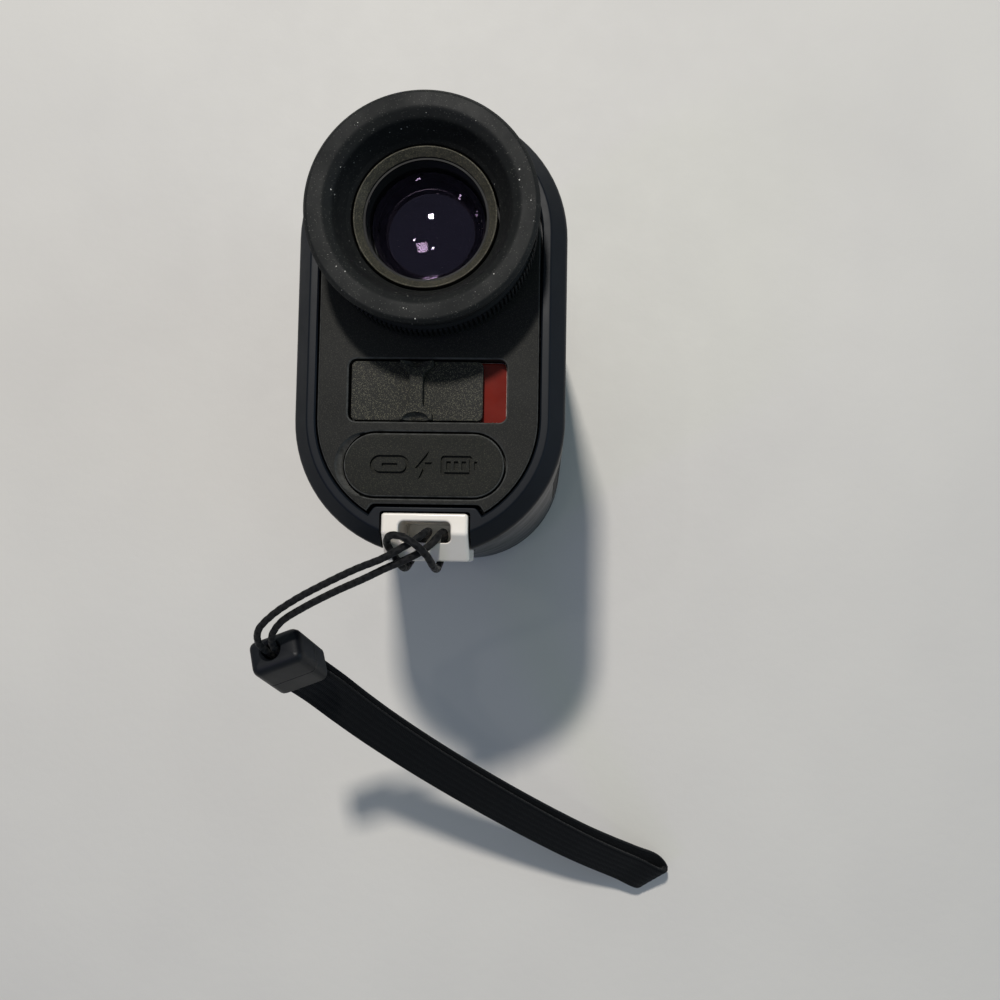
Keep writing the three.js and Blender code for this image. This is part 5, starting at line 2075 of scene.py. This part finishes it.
@dataclass
class Viewpoint:
    """The camera, held above the rear of the rangefinder and a little to its strap side."""

    place: Corner = (18.6, -35.5, 240)
    plumb: Point = (0.0475, 0.060)
    roll: float = 1.0
    lens: float = 36.0
    sensor: float = 36.0

    def build(self) -> None:
        """Place the camera from where the plumb line falls in its view, and its roll about that line."""
        down = Vector((*self.plumb, 1)).normalized()
        up = -down
        east = (Vector((1, 0, 0)) - up * up.x).normalized()
        north = up.cross(east)
        spin = Matrix.Rotation(math.radians(self.roll), 3, down)
        east, north = spin @ east, spin @ north
        right, lower, ahead = (Vector((east[i], north[i], up[i])) for i in range(3))
        turn = Matrix((right, -lower, -ahead)).transposed()
        data = bpy.data.cameras.new("camera")
        data.lens, data.sensor_width = self.lens, self.sensor
        data.clip_start, data.clip_end = 0.01, 20
        camera = bpy.data.objects.new("camera", data)
        camera.matrix_world = Matrix.Translation(Vector(self.place) * MM) @ turn.to_4x4()
        bpy.context.scene.collection.objects.link(camera)
        bpy.context.scene.camera = camera
        LOG.info("camera at %s", self.place)


@dataclass(frozen=True)
class Lamp:
    """A soft lamp that points at the rangefinder."""

    name: str
    place: Corner
    size: Point
    power: float
    colour: Colour

    def build(self, aim: Vector) -> None:
        """Place the lamp.

        Args:
            aim: The point that it faces.
        """
        data = bpy.data.lights.new(self.name, "AREA")
        data.shape = "RECTANGLE"
        data.size, data.size_y = self.size
        data.energy, data.color = self.power, self.colour
        lamp = bpy.data.objects.new(self.name, data)
        spot = Vector(self.place)
        turn = (aim - spot).to_track_quat("-Z", "Y").to_matrix().to_4x4()
        lamp.matrix_world = Matrix.Translation(spot) @ turn
        bpy.context.scene.collection.objects.link(lamp)


@dataclass
class Studio:
    """A pale table top, a soft key light from the button side and a cool fill."""

    floor_size: float = 6.0
    floor: Finish = Finish("table_top", srgb(214, 210, 203), 0.7, second=srgb(208, 204, 198), mottle=90,
                           grain=0.05, grain_size=2.5, smudge=0.1)
    lamps: tuple[Lamp, ...] = (
        Lamp("key", (-0.052, 0.325, 0.74), (0.05, 0.05), 4.7, (1.0, 0.965, 0.915)),
        Lamp("window", (1.30, -0.10, 0.55), (0.7, 0.5), 2.2, (0.5, 0.72, 1.0)),
        Lamp("ceiling_a", (-0.40, 0.13, 1.30), (0.05, 0.02), 0.25, (1.0, 0.98, 0.95)),
        Lamp("ceiling_b", (-0.04, -0.04, 1.45), (0.02, 0.05), 0.25, (1.0, 0.98, 0.95)),
        Lamp("coating_glow", (-0.62, -0.42, 1.05), (0.08, 0.26), 0.5, (0.45, 0.16, 1.0)),
    )
    sky: Colour = (0.63, 0.78, 0.87)
    sky_strength: float = 0.3
    aim: Corner = (0, -0.01, 0.05)

    def build(self, shop: PaintShop) -> None:
        """Lay the floor and set the lights.

        Args:
            shop: Where the floor's material comes from.
        """
        shape = bmesh.new()
        bmesh.ops.create_grid(shape, x_segments=8, y_segments=8, size=self.floor_size / 2)
        mesh = bpy.data.meshes.new("table_top")
        shape.to_mesh(mesh)
        shape.free()
        mesh.materials.append(shop.paint(self.floor))
        floor = bpy.data.objects.new("table_top", mesh)
        floor.location.z = -0.0001
        bpy.context.scene.collection.objects.link(floor)
        for lamp in self.lamps:
            lamp.build(Vector(self.aim))
        world = bpy.data.worlds.new("studio")
        world.use_nodes = True
        background = world.node_tree.nodes["Background"]
        background.inputs["Color"].default_value = (*self.sky, 1.0)
        background.inputs["Strength"].default_value = self.sky_strength
        bpy.context.scene.world = world
        bpy.context.scene.view_settings.view_transform = "Standard"
        LOG.info("studio with %d lamps", len(self.lamps))


def save_sizes() -> None:
    """Update the view layer."""
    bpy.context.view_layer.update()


def main() -> None:
    """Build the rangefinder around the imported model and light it."""
    logging.basicConfig(level=logging.INFO, format="%(message)s")
    shop = PaintShop()
    Viewpoint().build()
    WristStrap().build(shop)
    housing = Housing()
    housing.build(shop)
    RearPanel().build(shop, housing)
    Keys().build(shop, housing)
    Eyepiece().build(shop)
    FrontOptics().build(shop)
    dress_inner_nodes(shop)
    Studio().build(shop)
    save_sizes()


if __name__ == "__main__":
    main()
